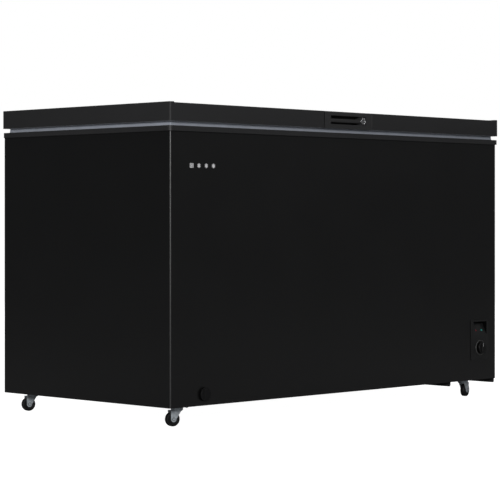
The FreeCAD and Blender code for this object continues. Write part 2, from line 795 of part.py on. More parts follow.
def compressor():
    """The sealed can on its mounting plate."""
    body = new_body("compressor")
    can = Disc(comp_x, comp_y, S["comp_r"])
    pad(body, "XY", comp_low, comp_high, can)
    fillet(body, S["comp_r"] * 0.4, lambda e: isinstance(e.Curve, Part.Circle))
    lap = S["foot_lap"]
    feet = middle_rect(comp_x, comp_y, S["foot_x"] + lap, S["foot_y"] + lap)
    pad(body, "XY", comp_z, comp_z + S["comp_plate"], feet)
    fillet(body, lap * 0.75, lambda e: passes(e, 2, [Spot(*corner) for corner in feet]))


def compressor_feet():
    """Four rubber feet under the compressor."""
    base = z_base + S["plate"]
    aside, along = S["foot_x"], S["foot_y"]
    spots = [(comp_x + x, comp_y + y, base) for x in (-aside, aside) for y in (-along, along)]
    group([rod(S["foot_r"], S["foot_rise"], spot) for spot in spots], "compressor_feet")


def relay_cover():
    """The cover over the compressor's terminals and starter."""
    body = new_body("relay_cover")
    near = comp_y - S["comp_r"]
    face = middle_rect(comp_x, comp_z + S["relay_up"], S["relay_w"] / 2, S["relay_rise"] / 2)
    pad(body, "XZ", near - S["relay_deep"], near, face)
    fillet(body, 5, lambda e: runs_along(e, 1))


def filter_drier():
    """The drier in the liquid line, fixed to the bay's wall."""
    can = rod(S["drier_r"], S["drier_long"], (drier_x, drier_y, drier_low))
    necks_long = S["drier_long"] + S["neck_long"] * 2
    necks = rod(S["neck_r"], necks_long, (drier_x, drier_y, drier_low - S["neck_long"]))
    fuse([can, necks], "filter_drier")


def refrigerant_pipes():
    """Suction and discharge pipes at the can, and the pipes into and out of the drier."""
    over = comp_high + S["pipe_rise"]
    neck = S["neck_long"]
    shapes = []
    for sign, radius in ((1, S["suction_r"]), (-1, S["discharge_r"])):
        x = comp_x + S["pipe_off"] * sign
        y = comp_y - S["pipe_run"] * sign
        route = [(x, comp_y, comp_high), (x, comp_y, over), (x, y, over), (x, y, z_bay)]
        shapes.append(bent_tube(route, float(radius), float(radius * 4)))
    shapes.append(Part.makeCylinder(
        float(S["liquid_r"]),
        float(z_bay - drier_high - neck),
        Vector(float(drier_x), float(drier_y), float(drier_high + neck)),
    ))
    level = drier_low - neck - S["pipe_rise"]
    ahead = drier_y - S["capillary_run"]
    route = [
        (drier_x, drier_y, drier_low - neck),
        (drier_x, drier_y, level),
        (drier_x, ahead, level),
        (bay_left, ahead, level),
    ]
    radius = S["capillary_r"]
    shapes.append(bent_tube(route, float(radius), float(radius * 4)))
    shaped("refrigerant_pipes", shapes)


def coil(label, low, high, start, radius, bend):
    """A tube wound round a rectangle, rising one pitch along its left side in each turn."""
    points = [(low.x + bend * 3, low.y, start)]
    for turn in range(TURNS):
        z = start + S["coil_pitch"] * turn
        for x, y in ((high.x, low.y), (high.x, high.y), (low.x, high.y)):
            points.append((x, y, z))
        points.append((low.x, low.y, z + S["coil_pitch"]))
    points[-1] = (low.x, high.y - bend * 3, z)
    shaped(label, [bent_tube(points, float(radius), float(bend))])


def coils():
    """The evaporator round the liner and the condenser inside the skins."""
    radius = S["evap_r"]
    off = S["liner"] + radius
    low = Spot(in_left - off, in_front - off)
    high = Spot(in_right + off, in_back + off)
    coil("evaporator_coil", low, high, z_step + S["evap_up"], radius, S["liner_r"] + off)
    radius = S["cond_r"]
    off = radius + S["free"]
    low = Spot(skin_left + off, skin_front + off)
    high = Spot(skin_right - off, skin_back - off)
    coil("condenser_coil", low, high, z_bay + S["cond_up"], radius, radius * 3)


def side_grille():
    """The louvred grille beside the compressor."""
    body = new_body("side_grille")
    half_w = S["vent_w"] / 2
    half_rise = S["vent_rise"] / 2
    lap = S["panel_lap"]
    inner = skin_right - S["vent_deep"]
    outer = right + S["vent_out"]
    pad(body, "YZ", right, outer, middle_rect(vent_y, vent_z, half_w, half_rise))
    fillet(body, 5, lambda e: runs_along(e, 0))
    pad(body, "YZ", inner, right, middle_rect(vent_y, vent_z, half_w - lap, half_rise - lap))
    pitch = (S["vent_rise"] - S["louvre_in"] * 2) / (LOUVRES - 1)
    slots = []
    for number in range(LOUVRES):
        z = vent_z + pitch * (number - (LOUVRES - 1) / 2)
        slots.append(middle_rect(vent_y, z, half_w - S["louvre_in"], S["louvre"] / 2))
    pocket(body, "YZ", inner - OVER, outer + OVER, *slots)


def rear_cover():
    """The slotted cover behind the compressor."""
    body = new_body("rear_cover")
    lap = S["cover_lap"]
    plate = rect(bay_left - lap, z_base + S["cover_up"], skin_right, z_bay + lap)
    pad(body, "XZ", back, back + S["cover"], plate)
    fillet(body, 4, lambda e: runs_along(e, 1))
    holes = [Disc(x, z, S["screw_r"] + HOLE_ROOM) for x, z in screw_spots]
    holes.append(Disc(inlet_x, inlet_z, S["inlet_r"]))
    for number in range(COVER_SLOTS):
        z = z_base + S["cover_slot_up"] + S["cover_pitch"] * number
        holes.append(middle_rect(comp_x, z, S["cover_slot_w"] / 2, S["louvre"] / 2))
    pocket(body, "XZ", back - OVER, back + S["cover"] + OVER, *holes)


def cover_screws():
    """The screws of the rear cover."""
    face = back + S["cover"]
    forward = Rotation(Vector(1, 0, 0), 90)
    screws = []
    for x, z in screw_spots:
        head = rod(S["head_r"], S["head_rise"], (x, face + S["head_rise"], z), forward)
        shank = rod(S["screw_r"], S["cover"] + S["skin"] + S["screw_r"], (x, face, z), forward)
        screws.append(fuse([head, shank]))
    group(screws, "cover_screws")


def cord_inlet():
    """The rubber bush that the mains lead enters through."""
    body = new_body("cord_inlet")
    face = back + S["cover"]
    inner = back - S["inlet_out"]
    outer = face + S["inlet_out"]
    pad(body, "XZ", inner, outer, Disc(inlet_x, inlet_z, S["inlet_r"]))
    pad(body, "XZ", face, face + S["inlet_out"] / 2, Disc(inlet_x, inlet_z, S["inlet_r"] + S["inlet_lip"]))
    pocket(body, "XZ", inner - OVER, outer + OVER, Disc(inlet_x, inlet_z, S["inlet_bore"]))


# ---------------------------------------------------------------- control panel and drain


def control_panel():
    """The moulded panel with a sloping lamp recess and the dial."""
    body = new_body("control_panel")
    lap = S["panel_lap"]
    deep = front + S["panel_deep"]
    pad(body, "XZ", panel_face, front, rect(panel_left, panel_low, panel_right, panel_high))
    fillet(body, S["panel_r"], lambda e: runs_along(e, 1))
    pad(body, "XZ", front, deep, rect(panel_left + lap, panel_low + lap, panel_right - lap, panel_high - lap))
    slope = [
        (panel_face - OVER, slope_high),
        (panel_face + S["lamp_deep"], slope_high),
        (panel_face, slope_low),
        (panel_face - OVER, slope_low),
    ]
    margin = S["lamp_margin"]
    pocket(body, "YZ", panel_left + margin, panel_right - margin, slope)
    wall = S["panel_wall"]
    inset = lap + wall
    hollow = rect(panel_left + inset, panel_low + inset, panel_right - inset, slope_low - wall)
    pocket(body, "XZ", panel_face + wall, deep + OVER, hollow)
    ring = [Disc(knob_x, knob_z, S["dial_r"]), Disc(knob_x, knob_z, S["dial_r"] - S["dial_w"])]
    pad(body, "XZ", panel_face - S["dial_out"], panel_face, *ring)
    hole = Disc(knob_x, knob_z, S["spindle_r"] + S["free"])
    pocket(body, "XZ", panel_face - OVER, panel_face + wall + OVER, hole)


def thermostat_body():
    """The thermostat behind the panel, with the spindle that carries the knob."""
    body = new_body("thermostat_body")
    seat = panel_face + S["panel_wall"]
    half = S["stat_w"] / 2
    pad(body, "XZ", seat, seat + S["stat_deep"], middle_rect(knob_x, knob_z, half, half))
    fillet(body, 3, lambda e: runs_along(e, 1))
    pad(body, "XZ", spindle_end, seat, Disc(knob_x, knob_z, S["spindle_r"]))


def lamp(label, side):
    """A small lens standing square on the slope."""
    body = new_body(label)
    pad(body, "XY", 0, S["lamp_out"], Disc(0, 0, S["lamp_r"]))
    fillet(body, S["lamp_out"] * 0.6, lambda e: isinstance(e.Curve, Part.Circle) and e.CenterOfMass.z > 1)
    body.Placement = Placement(Vector(0, 0, 0), Rotation(Vector(1, 0, 0), 60))
    rise = S["lamp_rise"] / S["lamp_deep"]
    bind(body, "Placement.Rotation.Angle", Size(0, f"atan({rise.text})"))
    bind(body, "Placement.Base.x", knob_x + S["lamp_apart"] / 2 * side)
    bind(body, "Placement.Base.y", panel_face + S["lamp_deep"] * S["lamp_up"] / S["lamp_rise"])
    bind(body, "Placement.Base.z", slope_low + S["lamp_up"])


def thermostat_knob():
    """The knob with its grip ridge, turning on the spindle."""
    body = new_body("thermostat_knob")
    pad(body, "XZ", knob_face, knob_back, Disc(knob_x, knob_z, S["knob_r"]))
    fillet(body, 1.5, lambda e: isinstance(e.Curve, Part.Circle) and e.CenterOfMass.y < float(knob_back) - 1)
    ridge = middle_rect(knob_x, knob_z, S["ridge_w"] / 2, S["knob_r"] - 2)
    pad(body, "XZ", knob_face - S["ridge_deep"], knob_face, ridge)
    fillet(body, 1.5, lambda e: runs_along(e, 2) and e.CenterOfMass.y < float(knob_face) - 3)
    bore = Disc(knob_x, knob_z, S["spindle_r"] + S["fit"])
    pocket(body, "XZ", spindle_end - S["free"], knob_back + OVER, bore)


def drain_pipe():
    """The pipe from the floor of the liner to the spout on the front."""
    forward = Rotation(Vector(1, 0, 0), 90)
    elbow = (drain_x, drain_y, drain_z)
    run = drain_y - front + S["spout_out"]
    outside = [
        rod(S["drain_r"], z_floor - drain_z, elbow),
        rod(S["drain_r"], run, elbow, forward),
        ball(S["drain_r"], elbow),
        rod(S["spout_r"], S["spout_out"], (drain_x, front, drain_z), forward),
    ]
    inside = [
        rod(S["drain_bore"], z_floor - drain_z + OVER, elbow),
        rod(S["drain_bore"], run + OVER, elbow, forward),
        ball(S["drain_bore"], elbow),
    ]
    cut(fuse(outside), inside, "drain_pipe")


def drain_cap():
    """The cap that plugs the spout, with a bar to grip."""
    body = new_body("drain_cap")
    seat = front - S["spout_out"] - S["free"]
    stem = S["drain_bore"] - S["fit"]
    face = seat - S["cap_deep"]
    pad(body, "XZ", face, seat, Disc(drain_x, drain_z, S["cap_r"]))
    fillet(body, 1, lambda e: isinstance(e.Curve, Part.Circle) and e.CenterOfMass.y < float(face) + 1)
    bar = middle_rect(drain_x, drain_z, S["cap_bar_w"] / 2, S["cap_r"] - S["cap_deep"])
    pad(body, "XZ", face - S["cap_bar_out"], face, bar)
    pad(body, "XZ", seat, seat + S["plug_deep"], Disc(drain_x, drain_z, stem))


def drain_stopper():
    """The plug in the floor of the liner, with a tab to pull."""
    body = new_body("drain_stopper")
    seat = z_floor + S["free"]
    rim = seat + S["stopper_deep"]
    pad(body, "XY", seat, rim, Disc(drain_x, drain_y, S["drain_r"] + S["stopper_lap"]))
    tab = middle_rect(drain_x, drain_y, S["tab_w"] / 2, S["stopper_deep"] / 2)
    pad(body, "XY", rim, rim + S["tab_rise"], tab)
    pad(body, "XY", seat - S["plug_deep"], seat, Disc(drain_x, drain_y, S["drain_bore"] - S["fit"]))


# ---------------------------------------------------------------- lid


def lid_skin():
    """The folded steel pan of the lid, with a raised hem at each end and a notch for the handle."""
    body = new_body("lid_skin")
    skin = S["skin"]
    outer = (lid_left, lid_front, lid_right, lid_back)
    inner = (lid_left + skin, lid_front + skin, lid_right - skin, lid_back - skin)
    hem = S["hem_w"]
    pad(body, "XY", z_lid, z_top, rect(*outer))
    pocket(body, "XY", z_lid - OVER, z_flat - skin, rect(*inner))
    fillet(body, S["lid_r"] - skin, lambda e: passes(e, 2, corners(*inner)))
    fillet(body, S["lid_r"], lambda e: passes(e, 2, corners(*outer)))
    fillet(body, S["hem_r"], lambda e: e.CenterOfMass.z > float(z_top) - 0.01)
    between = rect(lid_left + hem, lid_front - OVER, lid_right - hem, lid_back + OVER)
    pocket(body, "XY", z_flat, z_top + OVER, between)
    rims = [Spot(lid_front, z_flat), Spot(lid_back, z_flat)]
    fillet(body, S["edge_r"], lambda e: passes(e, 0, rims))
    notch = rect(-S["grip_w"] / 2, lid_front - OVER, S["grip_w"] / 2, lid_front + S["lip_deep"])
    pocket(body, "XY", z_lid - OVER, z_top, notch)


def lid_liner():
    """The inner panel of the lid, with a shallow tray that fills the opening."""
    body = new_body("lid_liner")
    skin = S["skin"]
    sheet = S["liner"]
    deep = z_lid - S["plug_drop"]
    off = S["ledge_w"] - S["plug_gap"]
    tray = (in_left - off, in_front - off, in_right + off, in_back + off)
    hollow = (tray[0] + sheet, tray[1] + sheet, tray[2] - sheet, tray[3] - sheet)
    border = (lid_left + skin, lid_front + skin, lid_right - skin, lid_back - skin)
    pad(body, "XY", z_lid, z_lid + sheet, rect(*border))
    fillet(body, S["lid_r"] - skin, lambda e: passes(e, 2, corners(*border)))
    pad(body, "XY", deep, z_lid, rect(*tray))
    pocket(body, "XY", deep + sheet, z_lid + sheet + OVER, rect(*hollow))
    fillet(body, S["liner_r"] + off - sheet, lambda e: passes(e, 2, corners(*hollow)))
    fillet(body, S["liner_r"] + off, lambda e: passes(e, 2, corners(*tray)))
    half = S["grip_w"] / 2
    notch = rect(-half, lid_front, half, lid_front + S["grip_deep"])
    pocket(body, "XY", z_lid - OVER, z_lid + sheet + OVER, notch)


def lid_foam():
    """The foam that fills the lid and its tray."""
    body = new_body("lid_foam")
    sheet = S["liner"]
    inset = S["skin"] + S["free"]
    off = S["ledge_w"] - S["plug_gap"] - sheet
    full = (lid_left + inset, lid_front + inset, lid_right - inset, lid_back - inset)
    tray = (in_left - off, in_front - off, in_right + off, in_back + off)
    pad(body, "XY", z_lid + sheet, z_flat - S["skin"], rect(*full))
    fillet(body, S["lid_r"], lambda e: passes(e, 2, corners(*full)))
    pad(body, "XY", z_lid - S["plug_drop"] + sheet, z_lid + sheet, rect(*tray))
    fillet(body, S["liner_r"] + off, lambda e: passes(e, 2, corners(*tray)))
    half = S["grip_w"] / 2
    notch = rect(-half, lid_front - OVER, half, lid_front + S["grip_deep"])
    pocket(body, "XY", z_lid - OVER, z_flat, notch)


def lid_gasket():
    """The seal under the lid's edge."""
    body = new_body("lid_gasket")
    inset = S["seal_in"]
    wide = inset + S["seal_w"]
    outer = (lid_left + inset, lid_front + inset, lid_right - inset, lid_back - inset)
    inner = (lid_left + wide, lid_front + wide, lid_right - wide, lid_back - wide)
    pad(body, "XY", z_collar + S["free"], z_lid, rect(*outer), rect(*inner))
    fillet(body, S["seal_r"], lambda e: passes(e, 2, corners(*outer)))


def handle_insert():
    """The moulded handle with a grip bar across its recess and a seat for the lock."""
    body = new_body("handle_insert")
    half = S["grip_w"] / 2
    recess_half = S["recess_w"] / 2
    low = z_lid + S["recess_up"]
    high = low + S["recess_rise"]
    pad(body, "XY", z_lid, z_flat, rect(-half, lid_front, half, lid_front + S["lip_deep"]))
    fillet(body, S["edge_r"] + 1, lambda e: passes(e, 0, [Spot(lid_front, z_flat)]))
    deep = lid_front + S["grip_deep"]
    inner = rect(-half, lid_front + S["lip_deep"], half, deep)
    pad(body, "XY", z_lid, z_flat - S["skin"], inner)
    recess = rect(-recess_half, low, recess_half, high)
    pocket(body, "XZ", lid_front - OVER, lid_front + S["recess_deep"], recess)
    seat = recess_half - (S["lock_r"] + S["seat_wall"]) * 2
    bar_low = low + S["bar_up"]
    bar_high = bar_low + S["bar_rise"]
    bar_face = lid_front + S["bar_back"]
    pad(body, "XZ", bar_face, bar_face + S["bar_deep"], rect(-recess_half, bar_low, seat, bar_high))
    rims = [Spot(bar_face, bar_low), Spot(bar_face, bar_high)]
    fillet(body, 3, lambda e: passes(e, 0, rims))
    seat_face = lid_front + S["seat_back"]
    pad(body, "XZ", seat_face, lid_front + S["recess_deep"], rect(seat, low, recess_half, high))
    bore = Disc(lock_x, lock_z, S["lock_r"] + S["fit"])
    pocket(body, "XZ", lid_front, lid_front + S["recess_deep"] + OVER, bore)


def lock_cylinder():
    """The key cylinder in the handle."""
    body = new_body("lock_cylinder")
    face = lid_front + S["lock_back"]
    pad(body, "XZ", face, lid_front + S["recess_deep"], Disc(lock_x, lock_z, S["lock_r"]))
    fillet(body, 1, lambda e: isinstance(e.Curve, Part.Circle) and e.CenterOfMass.y < float(face) + 1)
    slot = middle_rect(lock_x, lock_z, S["key_w"] / 2, S["key_rise"] / 2)
    pocket(body, "XZ", face - OVER, face + S["key_rise"], slot)


# ---------------------------------------------------------------- hinges


def hinge_base(side):
    """The bracket on the back, with two ears that hold the pin."""
    body = new_body(f"hinge_base_{side}")
    x = hinge_places[side]
    low = z_wall - S["bracket_drop"]
    high = z_wall - S["bracket_gap"]
    aside = S["bracket_w"] / 2
    pad(body, "XZ", back, back + S["bracket"], rect(x - aside, low, x + aside, high))
    ear_r = S["ear_r"]
    outline = [
        (back, low + 2),
        (back + S["hinge_back"], low + 2),
        (back + S["hinge_back"] + 1, high - 4),
        (pin_y + ear_r, pin_z),
        (pin_y - ear_r, pin_z),
        (pin_y - ear_r, z_wall - 1),
        (back, high - 4),
    ]
    half = S["ear_gap"] / 2
    ear = S["ear"]
    for start in (x - half - ear, x + half):
        pad(body, "YZ", start, start + ear, outline)
        pad(body, "YZ", start, start + ear, Disc(pin_y, pin_z, ear_r))
    hole = Disc(pin_y, pin_z, S["pin_r"])
    pocket(body, "YZ", x - half - ear - OVER, x + half + ear + OVER, hole)


def hinge_pins():
    """Both hinge pins, each with two heads."""
    along = Rotation(Vector(0, 1, 0), 90)
    half = S["ear_gap"] / 2 + S["ear"]
    head = S["pin_head"]
    pins = []
    for x in hinge_places.values():
        shaft = rod(S["pin_r"], half * 2, (x - half, pin_y, pin_z), along)
        ends = (x - half - head, x + half)
        heads = [rod(S["pin_r"] + head, head, (end, pin_y, pin_z), along) for end in ends]
        pins.append(fuse([shaft] + heads))
    group(pins, "hinge_pins")


def hinge_springs():
    """A torsion spring each side of each knuckle."""
    along = Rotation(Vector(0, 1, 0), 90)
    radius = S["pin_r"] + S["wire_r"] + S["spring_room"]
    room = (S["ear_gap"] - S["knuckle_w"]) / 2
    inset = S["wire_r"] + S["spring_room"]
    length = room - inset * 2
    springs = []
    for x in hinge_places.values():
        for start in (x - S["ear_gap"] / 2 + inset, x + S["knuckle_w"] / 2 + inset):
            helix = Part.makeHelix(float(length) / 3, float(length), float(radius))
            circle = Part.makeCircle(float(S["wire_r"]), Vector(float(radius), 0, 0), Vector(0, 1, 0))
            spring = Part.Wire(helix).makePipeShell([Part.Wire(circle)], True, True)
            spring.Placement = Placement(Vector(float(start), float(pin_y), float(pin_z)), along)
            springs.append(spring)
    shaped("hinge_springs", springs)


def hinge_cover(side):
    """The moulded cover over the bracket, open at the top."""
    body = new_body(f"hinge_cover_{side}")
    x = hinge_places[side]
    low = z_wall - S["shroud_drop"]
    high = z_wall - S["shroud_gap"]
    half = S["shroud_w"] / 2
    wall = S["shroud_wall"]
    deep = S["shroud_deep"]
    pad(body, "XZ", back, back + deep, rect(x - half, low, x + half, high))
    fillet(body, 5, lambda e: runs_along(e, 2) and e.CenterOfMass.y > float(back) + 1)
    hollow = rect(x - half + wall, low + wall, x + half - wall, high + OVER)
    pocket(body, "XZ", back - OVER, back + deep - wall, hollow)


def hinge_arm(side):
    """The strap on the back of the lid, with the knuckle round the pin."""
    body = new_body(f"hinge_arm_{side}")
    x = hinge_places[side]
    half = S["knuckle_w"] / 2
    pad(body, "YZ", x - half, x + half, Disc(pin_y, pin_z, S["knuckle_r"]))
    web = [
        (lid_back, pin_z),
        (pin_y, pin_z),
        (pin_y, pin_z + S["knuckle_r"]),
        (lid_back + S["bracket"], pin_z + S["web_rise"]),
        (lid_back, pin_z + S["web_rise"]),
    ]
    pad(body, "YZ", x - half, x + half, web)
    aside = S["strap_w"] / 2
    strap = rect(x - aside, pin_z + 2, x + aside, z_flat - 4)
    pad(body, "XZ", lid_back, lid_back + S["bracket"], strap)
    pocket(body, "YZ", x - half - OVER, x + half + OVER, Disc(pin_y, pin_z, S["pin_r"] + S["fit"]))


# ---------------------------------------------------------------- baskets


def basket(side):
    """A hanging basket: its true outline, with hooks on the ledge at the front and the back."""
    body = new_body(f"basket_{side}")
    if side == "left":
        x0 = in_left + S["basket_side"]
    else:
        x0 = in_right - S["basket_side"] - S["basket_w"]
    x1 = x0 + S["basket_w"]
    y0 = in_front + S["basket_side"]
    y1 = in_back - S["basket_side"]
    shelf = z_collar - S["ledge_drop"] + S["free"]
    high = shelf + S["basket_wire"]
    low = high - S["basket_drop"]
    wire = S["basket_wire"]
    outer = (x0, y0, x1, y1)
    inner = (x0 + wire, y0 + wire, x1 - wire, y1 - wire)
    pad(body, "XY", low, high, rect(*outer))
    pocket(body, "XY", low + wire, high + OVER, rect(*inner))
    fillet(body, S["basket_r"], lambda e: passes(e, 2, corners(*inner)))
    fillet(body, S["basket_r"] + wire, lambda e: passes(e, 2, corners(*outer)))
    reach = S["ledge_w"] + S["basket_side"] - S["hook_short"]
    hooks = S["hook_w"] / 2
    inset = hooks + S["basket_r"] + wire
    for x in (x0 + inset, x1 - inset):
        pad(body, "XY", shelf, high, rect(x - hooks, y0 - reach, x + hooks, y0 + wire / 2))
        pad(body, "XY", shelf, high, rect(x - hooks, y1 - wire / 2, x + hooks, y1 + reach))


# ---------------------------------------------------------------- casters


def set_at_swivel(body, corner, turns):
    """Move a caster's piece to its corner, and swing it where it turns with the fork."""
    x, y = caster_places[corner]
    bind(body, "Placement.Base.x", x)
    bind(body, "Placement.Base.y", y)
    if turns:
        body.Placement = Placement(Vector(0, 0, 0), Rotation(Vector(0, 0, 1), 1))
        bind(body, "Placement.Rotation.Angle", S[f"turn_{corner}"])


def caster_plate(corner):
    """The mounting plate with its bearing cup and the kingpin."""
    body = new_body(f"caster_plate_{corner}")
    plate_low = z_base - S["mount"]
    half_w, half_d = S["mount_w"] / 2, S["mount_d"] / 2
    pad(body, "XY", plate_low, z_base, middle_rect(Size.of(0), Size.of(0), half_w, half_d))
    fillet(body, 5, lambda e: runs_along(e, 2))
    washer_high = crown_low - S["free"]
    washer_low = washer_high - S["washer"]
    pad(body, "XY", crown_high + S["free"], plate_low, Disc(0, 0, S["cup_r"]))
    pad(body, "XY", washer_high - S["free"], crown_high + S["free"], Disc(0, 0, S["kingpin_r"]))
    pad(body, "XY", washer_low, washer_high, Disc(0, 0, S["kingpin_r"] + 2))
    across, along = half_w - S["bolt_in"], half_d - S["bolt_in"]
    holes = [Disc(x, y, S["bolt_r"]) for x in (-across, across) for y in (-along, along)]
    pocket(body, "XY", plate_low - OVER, z_base + OVER, *holes)
    set_at_swivel(body, corner, False)


def caster_fork(corner):
    """The swivelling fork, its legs tapered down to the axle."""
    body = new_body(f"caster_fork_{corner}")
    ahead, behind = S["fork_front"], -S["fork_rear"]
    pad(body, "XY", crown_low, crown_high, rect(behind, -leg_out, ahead, leg_out))
    pad(body, "XY", crown_low, crown_high, Disc(0, 0, S["crown_r"]))
    axle = Disc(-S["trail"], S["wheel_r"], S["leg_r"])
    leg = [
        (axle.x - axle.radius, axle.y),
        (axle.x + axle.radius, axle.y),
        (ahead, crown_low),
        (ahead, crown_high),
        (behind, crown_high),
    ]
    for low in (-leg_out, leg_in):
        pad(body, "XZ", low, low + S["fork_sheet"], leg)
        pad(body, "XZ", low, low + S["fork_sheet"], axle)
    pocket(body, "XY", crown_low - OVER, crown_high + OVER, Disc(0, 0, S["kingpin_r"] + S["fit"]))
    pocket(body, "XZ", -leg_out - OVER, leg_out + OVER, Disc(axle.x, axle.y, S["axle_r"]))
    set_at_swivel(body, corner, True)


def caster_axle(corner):
    """The axle through the fork, with a head at each end."""
    body = new_body(f"caster_axle_{corner}")
    pad(body, "XZ", -leg_out, leg_out, Disc(-S["trail"], S["wheel_r"], S["axle_r"]))
    for low in (-leg_out - S["rivet"], leg_out):
        pad(body, "XZ", low, low + S["rivet"], Disc(-S["trail"], S["wheel_r"], S["axle_r"] + 1))
    set_at_swivel(body, corner, True)


def caster_wheel(corner):
    """The wheel, dished on both sides."""
    body = new_body(f"caster_wheel_{corner}")
    half = S["wheel_w"] / 2
    tread = Disc(-S["trail"], S["wheel_r"], S["wheel_r"])
    pad(body, "XZ", -half, half, tread)
    fillet(body, 2.5, lambda e: isinstance(e.Curve, Part.Circle))
    rim = tread._replace(radius=S["wheel_r"] - S["tread"])
    hub = tread._replace(radius=S["axle_r"] + S["hub"])
    pocket(body, "XZ", -half - OVER, S["dish"] - half, rim, hub)
    pocket(body, "XZ", half - S["dish"], half + OVER, rim, hub)
    pocket(body, "XZ", -half - OVER, half + OVER, tread._replace(radius=S["axle_r"] + S["fit"]))
    set_at_swivel(body, corner, True)


# ---------------------------------------------------------------- build and write

outer_wrap()
back_panel()
bottom_panel()
foam_insulation()
liner_wall()
liner_floor()
top_collar()
badge()
compressor_base_plate()
compressor()
compressor_feet()
relay_cover()
filter_drier()
refrigerant_pipes()
coils()
side_grille()
rear_cover()
cover_screws()
cord_inlet()
control_panel()
thermostat_body()
lamp("power_lamp", 1)
lamp("alarm_lamp", -1)
thermostat_knob()
drain_pipe()
drain_cap()
drain_stopper()
lid_skin()
lid_liner()
lid_foam()
lid_gasket()
handle_insert()
lock_cylinder()
hinge_pins()
hinge_springs()
for side in hinge_places:
    hinge_base(side)
    hinge_cover(side)
    hinge_arm(side)
    basket(side)
for corner in caster_places:
    caster_plate(corner)
    caster_fork(corner)
    caster_axle(corner)
    caster_wheel(corner)
doc.recompute()

for thing in doc.Objects:
    if "Invalid" in thing.State or "Error" in thing.State:
        raise ValueError(f"{thing.Label} failed: {thing.State}")
for node in nodes:
    if node.Shape.isNull() or not node.Shape.isValid() or not node.Shape.Solids:
        raise ValueError(f"{node.Label} has no valid solid")

os.makedirs("parts", exist_ok=True)
for node in nodes:
    node.Shape.exportStep(f"parts/{node.Label}.step")
print(f"{len(nodes)} sub-parts written")
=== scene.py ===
import json
import math

import bmesh
import bpy
from mathutils import Matrix, Vector


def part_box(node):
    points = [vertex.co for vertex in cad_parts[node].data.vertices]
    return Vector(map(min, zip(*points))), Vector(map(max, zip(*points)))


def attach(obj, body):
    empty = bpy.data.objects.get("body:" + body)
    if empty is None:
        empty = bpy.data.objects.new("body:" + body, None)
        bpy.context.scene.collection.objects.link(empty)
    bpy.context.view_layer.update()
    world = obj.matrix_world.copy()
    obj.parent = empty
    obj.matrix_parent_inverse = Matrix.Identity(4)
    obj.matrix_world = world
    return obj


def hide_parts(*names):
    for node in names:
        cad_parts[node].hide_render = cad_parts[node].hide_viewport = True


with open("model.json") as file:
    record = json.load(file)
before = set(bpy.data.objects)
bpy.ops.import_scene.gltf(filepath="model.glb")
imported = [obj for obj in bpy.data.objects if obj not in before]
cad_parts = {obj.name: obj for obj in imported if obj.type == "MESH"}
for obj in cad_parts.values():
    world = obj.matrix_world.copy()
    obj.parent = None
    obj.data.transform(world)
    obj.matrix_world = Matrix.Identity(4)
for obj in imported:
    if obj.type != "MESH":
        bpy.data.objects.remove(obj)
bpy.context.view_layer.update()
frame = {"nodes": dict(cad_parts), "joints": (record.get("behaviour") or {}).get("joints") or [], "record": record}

MM = 0.001
NODES = frame["nodes"]
BODY_OF = {node: body for body, nodes in frame["record"]["behaviour"]["bodies"].items() for node in nodes}
SLOT_OF = {part["node"]: part["material_slot"] for part in frame["record"]["subparts"]}
JOINTS = {joint["name"]: joint for joint in frame["joints"]}
CORNERS = ("front_left", "rear_left", "front_right", "rear_right")
SIDES = ("left", "right")


def span(node):
    """A CAD node's lowest and highest corners."""
    low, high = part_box(node)
    return Vector(low), Vector(high)


def middle(node):
    """The middle of a CAD node's box."""
    low, high = span(node)
    return (low + high) / 2


# ---------------------------------------------------------------- camera, floor and lights


def aim_camera():
    """A level camera off the front left corner, with its horizon above the middle of the frame."""
    low, _ = span("outer_wrap")
    away_left, away_front, eye_level = 3.478, 3.7035, 0.546
    heading = -45.528
    camera = bpy.data.cameras.new("camera")
    camera.lens = 141.1
    camera.sensor_width = 36
    camera.shift_y = -0.063
    camera.clip_end = 60
    holder = bpy.data.objects.new("camera", camera)
    holder.location = (low.x - away_left, low.y - away_front, eye_level)
    holder.rotation_euler = (math.radians(90), 0, math.radians(heading))
    bpy.context.scene.collection.objects.link(holder)
    bpy.context.scene.camera = holder


def softbox(name, place, target, wide, tall, power):
    """A rectangular area light turned towards a point."""
    light = bpy.data.lights.new(name, "AREA")
    light.shape = "RECTANGLE"
    light.size = wide
    light.size_y = tall
    light.energy = power
    holder = bpy.data.objects.new(name, light)
    holder.location = place
    holder.rotation_euler = (Vector(target) - Vector(place)).to_track_quat("-Z", "Y").to_euler()
    bpy.context.scene.collection.objects.link(holder)


def white_room():
    """Surroundings that look white to the camera only, and light the freezer softly."""
    world = bpy.data.worlds.new("white_room")
    world.use_nodes = True
    tree = world.node_tree
    tree.nodes.clear()
    out = tree.nodes.new("ShaderNodeOutputWorld")
    mix = tree.nodes.new("ShaderNodeMixShader")
    path = tree.nodes.new("ShaderNodeLightPath")
    seen = tree.nodes.new("ShaderNodeBackground")
    fill = tree.nodes.new("ShaderNodeBackground")
    seen.inputs["Color"].default_value = (1, 1, 1, 1)
    fill.inputs["Color"].default_value = (0.95, 0.97, 1, 1)
    fill.inputs["Strength"].default_value = 0.1
    tree.links.new(path.outputs["Is Camera Ray"], mix.inputs["Fac"])
    tree.links.new(fill.outputs[0], mix.inputs[1])
    tree.links.new(seen.outputs[0], mix.inputs[2])
    tree.links.new(mix.outputs[0], out.inputs["Surface"])
    bpy.context.scene.world = world
    bpy.context.scene.view_settings.view_transform = "Standard"


